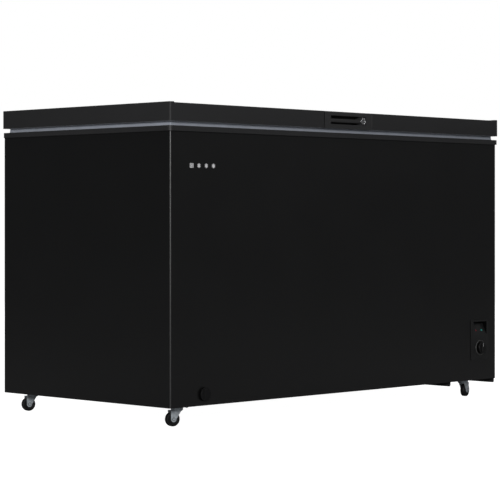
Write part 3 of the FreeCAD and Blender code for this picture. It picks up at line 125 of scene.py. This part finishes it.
def pale_floor():
    """A plain floor that looks white to the camera only, and is grey paper to the lights."""
    half = 40
    corners = [(-half, -half, 0), (half, -half, 0), (half, half, 0), (-half, half, 0)]
    mesh = bpy.data.meshes.new("floor")
    mesh.from_pydata(corners, [], [(0, 1, 2, 3)])
    paper = plain("floor_paper", (0.28, 0.28, 0.28), 0.9, specular=0.1)
    shader = paper.node_tree.nodes["Principled BSDF"]
    shader.inputs["Emission Color"].default_value = (1, 1, 1, 1)
    path = paper.node_tree.nodes.new("ShaderNodeLightPath")
    paper.node_tree.links.new(path.outputs["Is Camera Ray"], shader.inputs["Emission Strength"])
    mesh.materials.append(paper)
    floor = bpy.data.objects.new("floor", mesh)
    bpy.context.scene.collection.objects.link(floor)


def studio():
    """The camera, the room and its lights."""
    aim_camera()
    white_room()
    pale_floor()
    low, high = span("outer_wrap")
    top = Vector((0, 0, high.z))
    near_corner = Vector((low.x, low.y, high.z * 0.7))
    softbox("top_light", (0, -0.3, 4.2), top, 4, 3, 80)
    softbox("front_light", (-6.4, -5.2, 2.2), near_corner, 3.2, 1.2, 330)
    softbox("right_light", (5.2, -5.6, 3.4), near_corner, 3, 1.6, 18)
    softbox("rear_light", (4.6, 4.4, 2.6), top, 3, 2, 130)


# ---------------------------------------------------------------- shader groups and materials

FLOAT, COLOUR, VECTOR = "NodeSocketFloat", "NodeSocketColor", "NodeSocketVector"
WHOLE, MATERIAL, SHAPE = "NodeSocketInt", "NodeSocketMaterial", "NodeSocketGeometry"


def plain(name, colour, roughness, metallic=0.0, specular=0.5):
    """A bare Principled material."""
    material = bpy.data.materials.new(name)
    material.use_nodes = True
    shader = material.node_tree.nodes["Principled BSDF"]
    shader.inputs["Base Color"].default_value = (*colour, 1)
    shader.inputs["Roughness"].default_value = roughness
    shader.inputs["Metallic"].default_value = metallic
    shader.inputs["Specular IOR Level"].default_value = specular
    return material


def new_group(name, kind, inputs, outputs):
    """A node group with named sockets; returns the tree, its input node and its output node."""
    tree = bpy.data.node_groups.new(name, kind)
    for label, socket_kind, value in inputs:
        socket = tree.interface.new_socket(name=label, in_out="INPUT", socket_type=socket_kind)
        if value is not None:
            socket.default_value = value
    for label, socket_kind in outputs:
        tree.interface.new_socket(name=label, in_out="OUTPUT", socket_type=socket_kind)
    return tree, tree.nodes.new("NodeGroupInput"), tree.nodes.new("NodeGroupOutput")


def add_node(tree, kind, operation=None, **values):
    """A node with its operation and some of its inputs set; a value that is a socket is linked."""
    node = tree.nodes.new(kind)
    if operation:
        node.operation = operation
    for key, value in values.items():
        socket = node.inputs[int(key[1:])] if key[0] == "_" else node.inputs[key.replace("_", " ")]
        if isinstance(value, bpy.types.NodeSocket):
            tree.links.new(value, socket)
        else:
            socket.default_value = value
    return node


def surface_film():
    """Fine relief, slow mottling and a drift in gloss, shared by painted, moulded and metal surfaces."""
    inputs = [
        ("Colour", COLOUR, (0.5, 0.5, 0.5, 1)),
        ("Mottle", FLOAT, 0.1),
        ("Mottle Scale", FLOAT, 6.0),
        ("Grain Scale", FLOAT, 900.0),
        ("Grain Depth", FLOAT, 0.2),
        ("Gloss Base", FLOAT, 0.5),
        ("Gloss Drift", FLOAT, 0.08),
        ("Stretch", VECTOR, (1, 1, 1)),
    ]
    outputs = [("Colour", COLOUR), ("Roughness", FLOAT), ("Normal", VECTOR)]
    tree, given, out = new_group("surface_film", "ShaderNodeTree", inputs, outputs)
    ask = given.outputs
    where = add_node(tree, "ShaderNodeTexCoord").outputs["Object"]
    drawn = add_node(tree, "ShaderNodeVectorMath", "MULTIPLY", _0=where, _1=ask["Stretch"]).outputs[0]
    slow = add_node(tree, "ShaderNodeTexNoise", Vector=where, Scale=ask["Mottle Scale"], Detail=3.0)
    fine = add_node(tree, "ShaderNodeTexNoise", Vector=drawn, Scale=ask["Grain Scale"], Detail=2.0)
    swing = add_node(tree, "ShaderNodeMapRange", Value=slow.outputs["Fac"], From_Min=0.3, From_Max=0.7,
                     To_Min=-1.0, To_Max=1.0).outputs[0]
    shade = add_node(tree, "ShaderNodeMath", "MULTIPLY_ADD", _0=swing, _1=ask["Mottle"], _2=1.0).outputs[0]
    colour = add_node(tree, "ShaderNodeVectorMath", "SCALE", _0=ask["Colour"], Scale=shade).outputs[0]
    gloss = add_node(tree, "ShaderNodeMath", "MULTIPLY_ADD", _0=swing, _1=ask["Gloss Drift"],
                     _2=ask["Gloss Base"])
    relief = add_node(tree, "ShaderNodeBump", Height=fine.outputs["Fac"], Strength=ask["Grain Depth"],
                      Distance=0.0002)
    tree.links.new(colour, out.inputs["Colour"])
    tree.links.new(gloss.outputs[0], out.inputs["Roughness"])
    tree.links.new(relief.outputs["Normal"], out.inputs["Normal"])
    return tree


SURFACE_FILM = surface_film()


def filmed(name, colour, gloss, mottle=0.1, mottle_scale=6.0, grain=900.0, depth=0.2, drift=0.06,
           metallic=0.0, specular=0.5, stretch=(1, 1, 1)):
    """A Principled material fed by the surface film."""
    material = plain(name, colour, gloss, metallic, specular)
    tree = material.node_tree
    shader = tree.nodes["Principled BSDF"]
    film = tree.nodes.new("ShaderNodeGroup")
    film.node_tree = SURFACE_FILM
    film.inputs["Colour"].default_value = (*colour, 1)
    film.inputs["Mottle"].default_value = mottle
    film.inputs["Mottle Scale"].default_value = mottle_scale
    film.inputs["Grain Scale"].default_value = grain
    film.inputs["Grain Depth"].default_value = depth
    film.inputs["Gloss Base"].default_value = gloss
    film.inputs["Gloss Drift"].default_value = drift
    film.inputs["Stretch"].default_value = stretch
    tree.links.new(film.outputs["Colour"], shader.inputs["Base Color"])
    tree.links.new(film.outputs["Roughness"], shader.inputs["Roughness"])
    tree.links.new(film.outputs["Normal"], shader.inputs["Normal"])
    return material


def embossed_sheet():
    """Bright sheet rolled with a hammered pattern."""
    material = filmed("embossed_sheet", (0.74, 0.75, 0.77), 0.32, mottle=0.05, grain=300, depth=0.1,
                      metallic=0.85)
    tree = material.node_tree
    shader = tree.nodes["Principled BSDF"]
    film = next(node for node in tree.nodes if node.type == "GROUP")
    where = add_node(tree, "ShaderNodeTexCoord").outputs["Object"]
    cells = add_node(tree, "ShaderNodeTexVoronoi", Vector=where, Scale=110.0)
    hammered = add_node(tree, "ShaderNodeBump", Height=cells.outputs["Distance"],
                        Normal=film.outputs["Normal"], Strength=0.5, Distance=0.001)
    tree.links.new(hammered.outputs["Normal"], shader.inputs["Normal"])
    return material


def lit_lens(name, colour, glow):
    """A coloured lamp lens that is lit."""
    material = filmed(name, colour, 0.15, mottle=0.15, mottle_scale=300, depth=0.02)
    shader = material.node_tree.nodes["Principled BSDF"]
    shader.inputs["Emission Color"].default_value = (*colour, 1)
    shader.inputs["Emission Strength"].default_value = glow
    return material


MATERIALS = {
    "charcoal_steel": filmed("cabinet_paint", (0.004, 0.004, 0.0041), 0.34, 0.04, grain=1400,
                             depth=0.25, drift=0.015, specular=0.55),
    "lid_steel": filmed("lid_paint", (0.03, 0.03, 0.031), 0.48, 0.04, grain=1400, drift=0.015,
                        depth=0.25, specular=0.2),
    "back_steel": filmed("back_paint", (0.035, 0.035, 0.036), 0.5, 0.06, grain=1100, drift=0.02,
                         specular=0.3),
    "black_trim": filmed("collar_plastic", (0.026, 0.026, 0.027), 0.5, grain=1700, depth=0.35, specular=0.35),
    "handle_plastic": filmed("handle_plastic", (0.034, 0.034, 0.035), 0.45, grain=1700, depth=0.4,
                             specular=0.3),
    "panel_plastic": filmed("panel_plastic", (0.015, 0.0152, 0.0155), 0.45, grain=1900, depth=0.4,
                            specular=0.3),
    "knob_plastic": filmed("knob_plastic", (0.008, 0.008, 0.0083), 0.42, grain=1900, depth=0.3,
                           specular=0.25),
    "foam": filmed("foam", (0.78, 0.68, 0.42), 0.9, 0.15, 60, grain=500, depth=0.8),
    "liner_metal": embossed_sheet(),
    "lid_inner": filmed("lid_inner", (0.78, 0.79, 0.8), 0.35, 0.03, grain=500, depth=0.1),
    "gasket_grey": filmed("gasket_grey", (0.42, 0.45, 0.51), 0.6, 0.06, 30),
    "zinc_steel": filmed("zinc_plate", (0.52, 0.53, 0.55), 0.34, 0.18, 45, grain=500, depth=0.3,
                         metallic=1.0, stretch=(1, 1, 0.12)),
    "caster_zinc": filmed("caster_zinc", (0.56, 0.61, 0.65), 0.4, 0.2, 160, depth=0.3, metallic=0.35),
    "caster_tread": filmed("caster_tread", (0.005, 0.005, 0.0052), 0.55, 0.2, 150, grain=1500, depth=0.4,
                           specular=0.35),
    "compressor_paint": filmed("compressor_paint", (0.012, 0.012, 0.013), 0.28, 0.2, 40, grain=400,
                               depth=0.25),
    "black_rubber": filmed("black_rubber", (0.002, 0.002, 0.002), 0.8, 0.2, 90, depth=0.3, specular=0.06),
    "black_plastic": filmed("black_plastic", (0.02, 0.02, 0.02), 0.55, grain=1500, depth=0.35),
    "drain_white": filmed("drain_white", (0.7, 0.7, 0.68), 0.5, 0.05),
    "copper": filmed("copper", (0.75, 0.36, 0.22), 0.3, 0.3, 70, grain=700, metallic=1.0),
    "tube_steel": filmed("tube_steel", (0.07, 0.07, 0.07), 0.45, 0.2, 60, metallic=0.3),
    "lamp_green": lit_lens("lamp_green", (0.02, 0.2, 0.18), 0.25),
    "lamp_red": lit_lens("lamp_red", (0.12, 0.012, 0.016), 0.1),
    "lock_chrome": filmed("lock_chrome", (0.6, 0.6, 0.61), 0.25, 0.05, 200, depth=0.05, metallic=1.0),
    "badge_metal": filmed("badge_metal", (0.92, 0.92, 0.93), 0.35, 0.04, 80, grain=1500, depth=0.1,
                          metallic=0.1),
    "basket_wire": filmed("basket_coat", (0.8, 0.8, 0.79), 0.32, 0.04, 60, grain=700, depth=0.15),
}

# ---------------------------------------------------------------- making and repeating shapes


def mesh_from(points, faces, name="shape"):
    """A closed mesh from points and faces, with its faces turned outwards."""
    mesh = bpy.data.meshes.new(name)
    mesh.from_pydata([tuple(point) for point in points], [], faces)
    work = bmesh.new()
    work.from_mesh(mesh)
    bmesh.ops.remove_doubles(work, verts=work.verts, dist=1e-7)
    bmesh.ops.recalc_face_normals(work, faces=work.faces)
    work.to_mesh(mesh)
    work.free()
    return mesh


def bridged(rings, closed):
    """Faces between rings of the same number of points; closed joins the last ring to the first."""
    count = len(rings[0])
    faces = []
    for row in range(len(rings) if closed else len(rings) - 1):
        after = (row + 1) % len(rings)
        for step in range(count):
            side = (step + 1) % count
            faces.append((row * count + step, row * count + side, after * count + side, after * count + step))
    if not closed:
        faces.append(tuple(range(count)))
        faces.append(tuple(range((len(rings) - 1) * count, len(rings) * count)))
    return mesh_from([point for ring in rings for point in ring], faces)


def turned(profile, centre, axis, steps=40):
    """A ring of revolution from (distance along the axis, radius) pairs, the last joined to the first."""
    axis = Vector(axis).normalized()
    aside = axis.orthogonal().normalized()
    rings = []
    for along, radius in profile:
        ring = []
        for step in range(steps):
            spoke = Matrix.Rotation(2 * math.pi * step / steps, 3, axis) @ aside
            ring.append(Vector(centre) + axis * along + spoke * max(radius, 1e-5))
        rings.append(ring)
    return bridged(rings, closed=True)


def wire(points, radius, sides=8, closed=False):
    """A round wire along points."""
    points = [Vector(point) for point in points]
    count = len(points)
    rings = []
    aside = None
    for index, point in enumerate(points):
        before = points[index - 1] if closed or index else point
        after = points[(index + 1) % count] if closed or index < count - 1 else point
        along = (after - before).normalized()
        aside = along.orthogonal() if aside is None else aside - along * aside.dot(along)
        aside.normalize()
        across = along.cross(aside)
        ring = []
        for step in range(sides):
            turn = 2 * math.pi * step / sides
            ring.append(point + (aside * math.cos(turn) + across * math.sin(turn)) * radius)
        rings.append(ring)
    return bridged(rings, closed)


def slab(low, high, rounding=0.0):
    """A block with its edges rounded over."""
    work = bmesh.new()
    bmesh.ops.create_cube(work, size=1)
    low, high = Vector(low), Vector(high)
    for point in work.verts:
        point.co = (low + high) / 2 + Vector(a * b for a, b in zip(point.co, high - low))
    if rounding:
        bmesh.ops.bevel(work, geom=work.edges[:], offset=rounding, segments=3, profile=0.5, affect="EDGES")
    mesh = bpy.data.meshes.new("slab")
    work.to_mesh(mesh)
    work.free()
    return mesh


def loop_round(low, high, radius, inset, level, steps=6):
    """A rounded rectangle as points, drawn in from a box's sides by the inset."""
    points = []
    bend = max(radius - inset, 0.0015)
    places = ((high.x - inset - bend, high.y - inset - bend), (low.x + inset + bend, high.y - inset - bend),
              (low.x + inset + bend, low.y + inset + bend), (high.x - inset - bend, low.y + inset + bend))
    for quarter, (x, y) in enumerate(places):
        for step in range(steps + 1):
            turn = math.pi / 2 * (quarter + step / steps)
            points.append(Vector((x + bend * math.cos(turn), y + bend * math.sin(turn), level)))
    return points


def moved(mesh, matrix):
    """The mesh, moved."""
    mesh.transform(matrix)
    return mesh


def joined(*meshes):
    """Several meshes made one."""
    work = bmesh.new()
    for mesh in meshes:
        work.from_mesh(mesh)
    whole = bpy.data.meshes.new("joined")
    work.to_mesh(whole)
    work.free()
    return whole


def repeat_tree():
    """Copies of a shape along a row, each moved a step and turned a step from the one before."""
    inputs = [
        ("Geometry", SHAPE, None),
        ("Count", WHOLE, 4),
        ("Start", VECTOR, (0, 0, 0)),
        ("Step", VECTOR, (0, 0, 0)),
        ("Turn", VECTOR, (0, 0, 0)),
        ("Material", MATERIAL, None),
    ]
    tree, given, out = new_group("repeat_in_row", "GeometryNodeTree", inputs, [("Geometry", SHAPE)])
    ask = given.outputs
    row = add_node(tree, "GeometryNodeMeshLine", Count=ask["Count"], Start_Location=ask["Start"],
                   Offset=ask["Step"])
    number = add_node(tree, "GeometryNodeInputIndex").outputs[0]
    turn = add_node(tree, "ShaderNodeVectorMath", "SCALE", _0=ask["Turn"], Scale=number).outputs[0]
    spin = add_node(tree, "FunctionNodeEulerToRotation", Euler=turn).outputs[0]
    copies = add_node(tree, "GeometryNodeInstanceOnPoints", Points=row.outputs["Mesh"],
                      Instance=ask["Geometry"], Rotation=spin)
    real = add_node(tree, "GeometryNodeRealizeInstances", Geometry=copies.outputs["Instances"])
    finish = add_node(tree, "GeometryNodeSetMaterial", Geometry=real.outputs["Geometry"],
                      Material=ask["Material"])
    tree.links.new(finish.outputs["Geometry"], out.inputs["Geometry"])
    return tree


REPEAT = repeat_tree()


def repeated(mesh, count, start=(0, 0, 0), step=(0, 0, 0), turn=(0, 0, 0), slot=None):
    """A plain mesh of the copies that the repeat tree makes of a shape."""
    holder = bpy.data.objects.new("pattern", mesh)
    bpy.context.scene.collection.objects.link(holder)
    modifier = holder.modifiers.new("repeat", "NODES")
    modifier.node_group = REPEAT
    values = {"Count": count, "Start": Vector(start), "Step": Vector(step), "Turn": Vector(turn),
              "Material": MATERIALS[slot] if slot else None}
    for item in REPEAT.interface.items_tree:
        if item.in_out == "INPUT" and item.name in values:
            modifier[item.identifier] = values[item.name]
    bpy.context.view_layer.update()
    ready = holder.evaluated_get(bpy.context.evaluated_depsgraph_get())
    result = bpy.data.meshes.new_from_object(ready)
    bpy.data.objects.remove(holder)
    return result


def smooth_by_angle(mesh, degrees=32):
    """Smooth shading, with every fold sharper than the angle kept crisp."""
    work = bmesh.new()
    work.from_mesh(mesh)
    limit = math.radians(degrees)
    for face in work.faces:
        face.smooth = True
    for edge in work.edges:
        edge.smooth = len(edge.link_faces) == 2 and edge.calc_face_angle(0) < limit
    work.to_mesh(mesh)
    work.free()


def place_piece(name, mesh, body, slot, *replaced):
    """Put a finished mesh in the scene, on a CAD body and in a material slot."""
    mesh.materials.clear()
    mesh.materials.append(MATERIALS[slot])
    smooth_by_angle(mesh)
    piece = bpy.data.objects.new(name, mesh)
    bpy.context.scene.collection.objects.link(piece)
    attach(piece, body)
    if replaced:
        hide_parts(*replaced)
    return piece


def welded_copy(node):
    """A copy of a CAD node's mesh with its points joined and its flat areas made whole."""
    source = bmesh.new()
    source.from_mesh(NODES[node].data)
    bmesh.ops.remove_doubles(source, verts=source.verts, dist=2e-6)
    bmesh.ops.dissolve_limit(source, angle_limit=math.radians(0.2), verts=source.verts, edges=source.edges)
    mesh = bpy.data.meshes.new(f"{node}_finished")
    source.to_mesh(mesh)
    source.free()
    return mesh


def edges_broken(node, width, segments=2, degrees=35):
    """A CAD node redone with its sharp edges broken."""
    piece = place_piece(f"{node}_finished", welded_copy(node), BODY_OF[node], SLOT_OF[node], node)
    bevel = piece.modifiers.new("broken_edges", "BEVEL")
    bevel.width = width
    bevel.segments = segments
    bevel.limit_method = "ANGLE"
    bevel.angle_limit = math.radians(degrees)
    bevel.harden_normals = True


# ---------------------------------------------------------------- lid and opening


def bellows_seal():
    """The seal under the lid: a magnet tube that lies on the collar, on a folded web."""
    low, high = span("lid_gasket")
    corner = 3 * MM
    outside = [(0.0, 1.0), (0.9, 0.94), (1.5, 0.8), (0.6, 0.64), (1.4, 0.5), (0.3, 0.38), (0.2, 0.14)]
    underside = [(0.6, 0.0), (13.2, 0.0)]
    inside = [(13.6, 0.16), (12.8, 0.3), (10.4, 0.38), (12.0, 0.55), (10.6, 0.72), (11.5, 1.0), (14.0, 1.0)]
    rings = []
    for inset, rise in outside + underside + inside:
        rings.append(loop_round(low, high, corner, inset * MM, low.z + (high.z - low.z) * rise))
    place_piece("lid_seal", bridged(rings, closed=True), "lid", "gasket_grey", "lid_gasket")


def lid_pan():
    """The lid's steel pan and inner panel with softened folds, and pressed ribs inside."""
    edges_broken("lid_skin", 0.35 * MM)
    low, high = span("lid_liner")
    inset, half, proud, sunk, spacing = 120 * MM, 7 * MM, 1.2 * MM, 0.5 * MM, 0.17
    rib = slab((low.x + inset, -half, low.z - proud), (high.x - inset, half, low.z + sunk), 1.1 * MM)
    ribs = repeated(rib, 3, start=(0, -spacing, 0), step=(0, spacing, 0))
    edges_broken("lid_liner", 0.5 * MM, 3)
    place_piece("lid_liner_ribs", ribs, "lid", "lid_inner")


def handle_and_lock():
    """The moulded grip with a dark seam, a black strip of painted shadow, and a lip at its ends, and the chrome
    lock with its rim.
    """
    edges_broken("handle_insert", 0.6 * MM, 3)
    low, high = span("handle_insert")
    # a black strip along the grip's left edge: painted shadow of the gap between the grip and the lid skin
    seam = slab((low.x - 0.8 * MM, low.y - 0.12 * MM, low.z + 1 * MM),
                (low.x + 1.2 * MM, low.y + 1 * MM, high.z - 2.2 * MM))
    place_piece("handle_seam_shadow", seam, "lid", "black_rubber")
    lip = slab((high.x - 3.5 * MM, low.y - 0.9 * MM, low.z + 2 * MM),
               (high.x, low.y + 1 * MM, high.z - 3 * MM), 0.8 * MM)
    place_piece("handle_lip", lip, "lid", "handle_plastic")
    edges_broken("lock_cylinder", 0.25 * MM)
    low, high = span("lock_cylinder")
    centre = Vector(((low.x + high.x) / 2, low.y, (low.z + high.z) / 2))
    rim = [(0.0, 9.0), (-0.5, 9.3), (-0.9, 8.9), (-0.9, 7.9), (-0.3, 7.5), (0.4, 7.4), (0.4, 9.0)]
    ring = turned([(y * MM, r * MM) for y, r in rim], centre, (0, 1, 0), 48)
    place_piece("lock_rim", ring, "lid", "lock_chrome")


# ---------------------------------------------------------------- front fittings


def marks_round(centre, radius, size, count, sweep, slot, first=0.0):
    """Raised marks round a centre on the front, spread over a sweep."""
    half = Vector(size) / 2
    mark = slab(-half, half, min(size) * 0.3)
    moved(mark, Matrix.Translation((0, 0, radius)))
    moved(mark, Matrix.Rotation(first, 4, "Y"))
    return repeated(mark, count, start=centre, turn=(0, sweep / max(count - 1, 1), 0), slot=slot)


def collar_round(profile, centre):
    """A ring round a centre on the front, from (millimetres outwards, radius) pairs."""
    return turned([(out * MM, radius * MM) for out, radius in profile], centre, (0, -1, 0), 56)


def control_fittings():
    """The control panel, its lamps and a black sheet of painted shade on their recess's wall, and the dial and
    knob.
    """
    edges_broken("control_panel", 0.5 * MM, 3)
    knob = middle("thermostat_knob")
    face = span("control_panel")[0].y
    centre = (knob.x, face + 0.2 * MM, knob.z)
    marks = marks_round(centre, 26.5 * MM, (0.9 * MM, 0.8 * MM, 2.6 * MM), 11, math.radians(300),
                        "handle_plastic", math.radians(-150))
    place_piece("dial_marks", marks, "cabinet", "handle_plastic")
    bead = [(-0.6, 20.0), (0.6, 20.2), (1.5, 21.0), (1.8, 21.7), (1.5, 22.4), (0.6, 23.1), (-0.6, 23.2)]
    place_piece("dial_ring", collar_round(bead, centre), "cabinet", "tube_steel")
    low, high = span("control_panel")
    wall_x, top, foot = high.x - 11 * MM, high.z - 5.2 * MM, high.z - 44 * MM
    corners = [(face + 1 * MM, top), (face + 20 * MM, top), (face + 1 * MM, foot)]
    sides = [Vector((x, y, z)) for x in (wall_x - 0.7 * MM, wall_x - 0.1 * MM) for y, z in corners]
    # a thin matt black sheet just off the lamp recess's right wall: painted shade, so that the wall reads dark
    # where the lights would show it lit
    shade = mesh_from(sides, [(0, 1, 2), (3, 4, 5), (0, 1, 4, 3), (1, 2, 5, 4), (2, 0, 3, 5)])
    place_piece("lamp_recess_painted_shade", shade, "cabinet", "black_rubber")
    edges_broken("thermostat_knob", 0.4 * MM, 3)
    low, high = span("thermostat_knob")
    pointer = slab((knob.x - 0.5 * MM, low.y - 0.15 * MM, knob.z + 4 * MM),
                   (knob.x + 0.5 * MM, low.y + 0.4 * MM, knob.z + 14 * MM), 0.1 * MM)
    place_piece("knob_pointer", pointer, "knob", "badge_metal")
    back_of_knob = (knob.x, high.y - 3.2 * MM, knob.z)
    flutes = marks_round(back_of_knob, 17 * MM, (1.0 * MM, 4.5 * MM, 0.8 * MM), 37, math.radians(360),
                         "black_rubber")
    place_piece("knob_flutes", flutes, "knob", "black_rubber")
    # a matt black sleeve over the knob's side wall: painted shade, so the side reads dark where the lights would
    # show it lit
    sleeve = [(0.4, 16.6), (0.4, 17.25), (7.4, 17.25), (7.4, 16.6)]
    place_piece("knob_painted_shade_sleeve", collar_round(sleeve, (knob.x, high.y, knob.z)), "knob", "black_rubber")
    for lamp in ("power_lamp", "alarm_lamp"):
        edges_broken(lamp, 0.1 * MM)


def drain_fittings():
    """The drain's cap with a ribbed rim and a matt black skirt over its side that paints shade there, and the
    stopper.
    """
    edges_broken("drain_cap", 0.5 * MM, 3)
    low, high = span("drain_cap")
    centre = middle("drain_cap")
    rim_y = span("drain_pipe")[0].y - 2.4 * MM
    ribs = marks_round((centre.x, rim_y, centre.z), (high.x - low.x) / 2, (1.1 * MM, 3.2 * MM, 0.7 * MM), 31,
                       math.radians(360), "black_rubber")
    place_piece("drain_cap_ribs", ribs, "drain_cap", "black_rubber")
    front = span("outer_wrap")[0].y
    reach = (front - low.y) / MM - 3.6
    # a matt black skirt over the cap's side wall: painted shade, so the side reads dark where the lights would
    # show it lit
    skirt = [(0.2, 17.6), (0.2, 18.3), (reach, 18.3), (reach, 17.6)]
    wall = collar_round(skirt, (centre.x, front, centre.z))
    place_piece("drain_cap_painted_shade_skirt", wall, "drain_cap", "black_rubber")
    edges_broken("drain_stopper", 0.4 * MM)


# ---------------------------------------------------------------- casters, hinges and screws


def hex_screw(radius, rise):
    """A screw head along +Z: a hexagonal ring on a washer."""
    head = turned([(0, radius), (rise * 0.85, radius), (rise, radius * 0.85)], (0, 0, 0), (0, 0, 1), 6)
    washer = turned([(0, radius * 1.35), (rise * 0.2, radius * 1.35), (rise * 0.25, radius * 1.2)], (0, 0, 0),
                    (0, 0, 1), 20)
    return joined(head, washer)


def caster(corner):
    """One caster: bolts under its plate, a ball race, a riveted fork and a moulded wheel."""
    plate, fork, wheel, axle = (f"caster_{piece}_{corner}" for piece in ("plate", "fork", "wheel", "axle"))
    edges_broken(plate, 0.3 * MM)
    edges_broken(fork, 0.35 * MM)
    edges_broken(axle, 0.3 * MM)
    low, high = span(plate)
    bolt = moved(hex_screw(3.4 * MM, 2.6 * MM), Matrix.Rotation(math.pi, 4, "X"))
    bolt_in = 6 * MM
    under = high.z - 2.5 * MM
    apart = (0, high.y - low.y - 2 * bolt_in, 0)
    rows = []
    for x in (low.x + bolt_in, high.x - bolt_in):
        rows.append(repeated(bolt.copy(), 2, (x, low.y + bolt_in, under), apart))
    place_piece(f"{plate}_bolts", joined(*rows), "cabinet", "caster_zinc")
    swivel = Vector(JOINTS[f"{corner}_swivel"]["pos_m"])
    cup = [(0, 14.5), (-0.4, 15.4), (-1.6, 16.2), (-2.6, 16.4), (-3.0, 15.6), (-3.0, 12.0)]
    race = turned([(z * MM, r * MM) for z, r in cup], (swivel.x, swivel.y, under), (0, 0, 1))
    place_piece(f"{plate}_cup", race, "cabinet", "caster_zinc")
    hub = Vector(JOINTS[f"{corner}_roll"]["pos_m"])
    along = Vector(JOINTS[f"{corner}_roll"]["axis"])
    shoulder = [(4.2, 19.25), (5.4, 19.1), (6.5, 18.4), (7, 17.2), (7, 14)]
    tyre = [(-x, r) for x, r in reversed(shoulder)] + shoulder
    disc = [(6.0, 13.7), (5.6, 12.8), (5.6, 7.2), (6.2, 6.2), (7.0, 5.6), (7.0, 2.6)]
    profile = [(-x, r) for x, r in reversed(disc)] + tyre + disc
    round_wheel = turned([(x * MM, r * MM) for x, r in profile], hub, along, 56)
    place_piece(f"{wheel}_moulded", round_wheel, f"wheel_{corner}", "caster_tread", wheel)
    reach = max(along.dot(point.co - hub) for point in NODES[axle].data.vertices) / MM
    washer = [(reach - 1.5, 3.4), (reach - 1.5, 4.7), (reach - 0.9, 4.4), (reach - 0.9, 3.4)]
    both = [turned([(sign * x * MM, r * MM) for x, r in washer], hub, along, 24) for sign in (-1, 1)]
    place_piece(f"{axle}_washers", joined(*both), BODY_OF[axle], "tube_steel")


def hinge(side):
    """One hinge: its bracket, strap and cover, with their screws."""
    for node in (f"hinge_base_{side}", f"hinge_arm_{side}"):
        edges_broken(node, 0.4 * MM)
    edges_broken(f"hinge_cover_{side}", 0.8 * MM, 3)
    low, high = span(f"hinge_arm_{side}")
    screw = moved(hex_screw(3.0 * MM, 2.4 * MM), Matrix.Rotation(-math.pi / 2, 4, "X"))
    lid_back = span("lid_skin")[1].y
    start = (low.x + 5 * MM, lid_back + 2.5 * MM, high.z - 8 * MM)
    straps = repeated(screw, 2, start, (high.x - low.x - 10 * MM, 0, 0))
    place_piece(f"hinge_arm_{side}_screws", straps, "lid", "zinc_steel")


# ---------------------------------------------------------------- compressor bay


def bay_fittings():
    """The compressor with its weld seam, and the bay's other fittings with their edges broken."""
    edges_broken("cover_screws", 0.4 * MM)
    edges_broken("compressor", 0.5 * MM)
    can_radius = 70 * MM
    seam = [(-2.6, 0.0), (-2.2, 1.6), (2.2, 1.6), (2.6, 0.0)]
    profile = [(z * MM, can_radius + r * MM) for z, r in seam]
    band = turned(profile, middle("compressor"), (0, 0, 1), 64)
    place_piece("compressor_seam", band, "cabinet", "compressor_paint")
    widths = (("relay_cover", 0.8), ("compressor_base_plate", 0.4), ("side_grille", 0.6),
              ("rear_cover", 0.3), ("cord_inlet", 0.6), ("filter_drier", 0.8), ("compressor_feet", 0.8),
              ("badge", 0.2), ("bottom_panel", 0.25), ("top_collar", 0.5))
    for node, width in widths:
        edges_broken(node, width * MM)


# ---------------------------------------------------------------- baskets


def bent_down(start, end, drop, bend, steps=4):
    """Points of a wire that hangs between two rims: down, across and up, with rounded corners."""
    along = (end - start).normalized()
    down = Vector((0, 0, -1))
    points = [start.copy()]
    for corner, enter, leave in ((start + down * drop, down, along), (end + down * drop, along, -down)):
        for step in range(steps + 1):
            turn = math.pi / 2 * step / steps
            points.append(corner - enter * bend * (1 - math.sin(turn)) + leave * bend * (1 - math.cos(turn)))
    points.append(end.copy())
    return points


def basket(side):
    """A coated wire basket: rims, two ways of hanging wires, and hooks over the ledge."""
    low, high = span(f"basket_{side}")
    hook_reach = 16 * MM
    low_in, high_in = low + Vector((0, hook_reach, 0)), high - Vector((0, hook_reach, 0))
    thick, thin = 2.6 * MM, 1.5 * MM
    bend = 14 * MM
    top = high.z - thick
    parts = []
    for level, radius in ((top, thick), (low.z + (top - low.z) * 0.5, thin), (low.z + bend, thin)):
        parts.append(wire(loop_round(low_in, high_in, bend + thick, radius, level), radius, closed=True))
    gap = 25 * MM
    drop = top - low.z - thin
    inset = thick * 2
    run = high_in.y - low_in.y - inset * 2
    across = bent_down(Vector((0, 0, 0)), Vector((0, run, 0)), drop, bend)
    count = int((high.x - low.x - bend * 2) / gap) + 1
    first = (low.x + high.x - gap * (count - 1)) / 2
    parts.append(repeated(wire(across, thin), count, (first, low_in.y + inset, top), (gap, 0, 0)))
    run = high.x - low.x - inset * 2
    along = bent_down(Vector((0, 0, 0)), Vector((run, 0, 0)), drop, bend)
    count = int((high_in.y - low_in.y - bend * 2) / gap) + 1
    first = (low_in.y + high_in.y - gap * (count - 1)) / 2
    parts.append(repeated(wire(along, thin), count, (low.x + inset, first, top), (0, gap, 0)))
    hook_in, half, chamfer, overlap = 46 * MM, 28 * MM, 4 * MM, 3 * MM
    for x in (low.x + hook_in, high.x - hook_in):
        for edge, inner, sign in ((low.y, low_in.y, 1), (high.y, high_in.y, -1)):
            out = edge + sign * thick
            root = inner + sign * overlap
            bent = out + sign * chamfer
            hook = [(x - half, root, top), (x - half, bent, top), (x - half + chamfer, out, top),
                    (x + half - chamfer, out, top), (x + half, bent, top), (x + half, root, top)]
            parts.append(wire(hook, thick))
    place_piece(f"basket_{side}_wires", joined(*parts), f"basket_{side}", "basket_wire", f"basket_{side}")


# ---------------------------------------------------------------- the whole freezer


def finish_cad_nodes():
    """Give every CAD node the material of its slot."""
    for name, node in NODES.items():
        node.data.materials.clear()
        node.data.materials.append(MATERIALS[SLOT_OF[name]])


studio()
finish_cad_nodes()
bellows_seal()
lid_pan()
handle_and_lock()
control_fittings()
drain_fittings()
bay_fittings()
for side in SIDES:
    hinge(side)
    basket(side)
for corner in CORNERS:
    caster(corner)
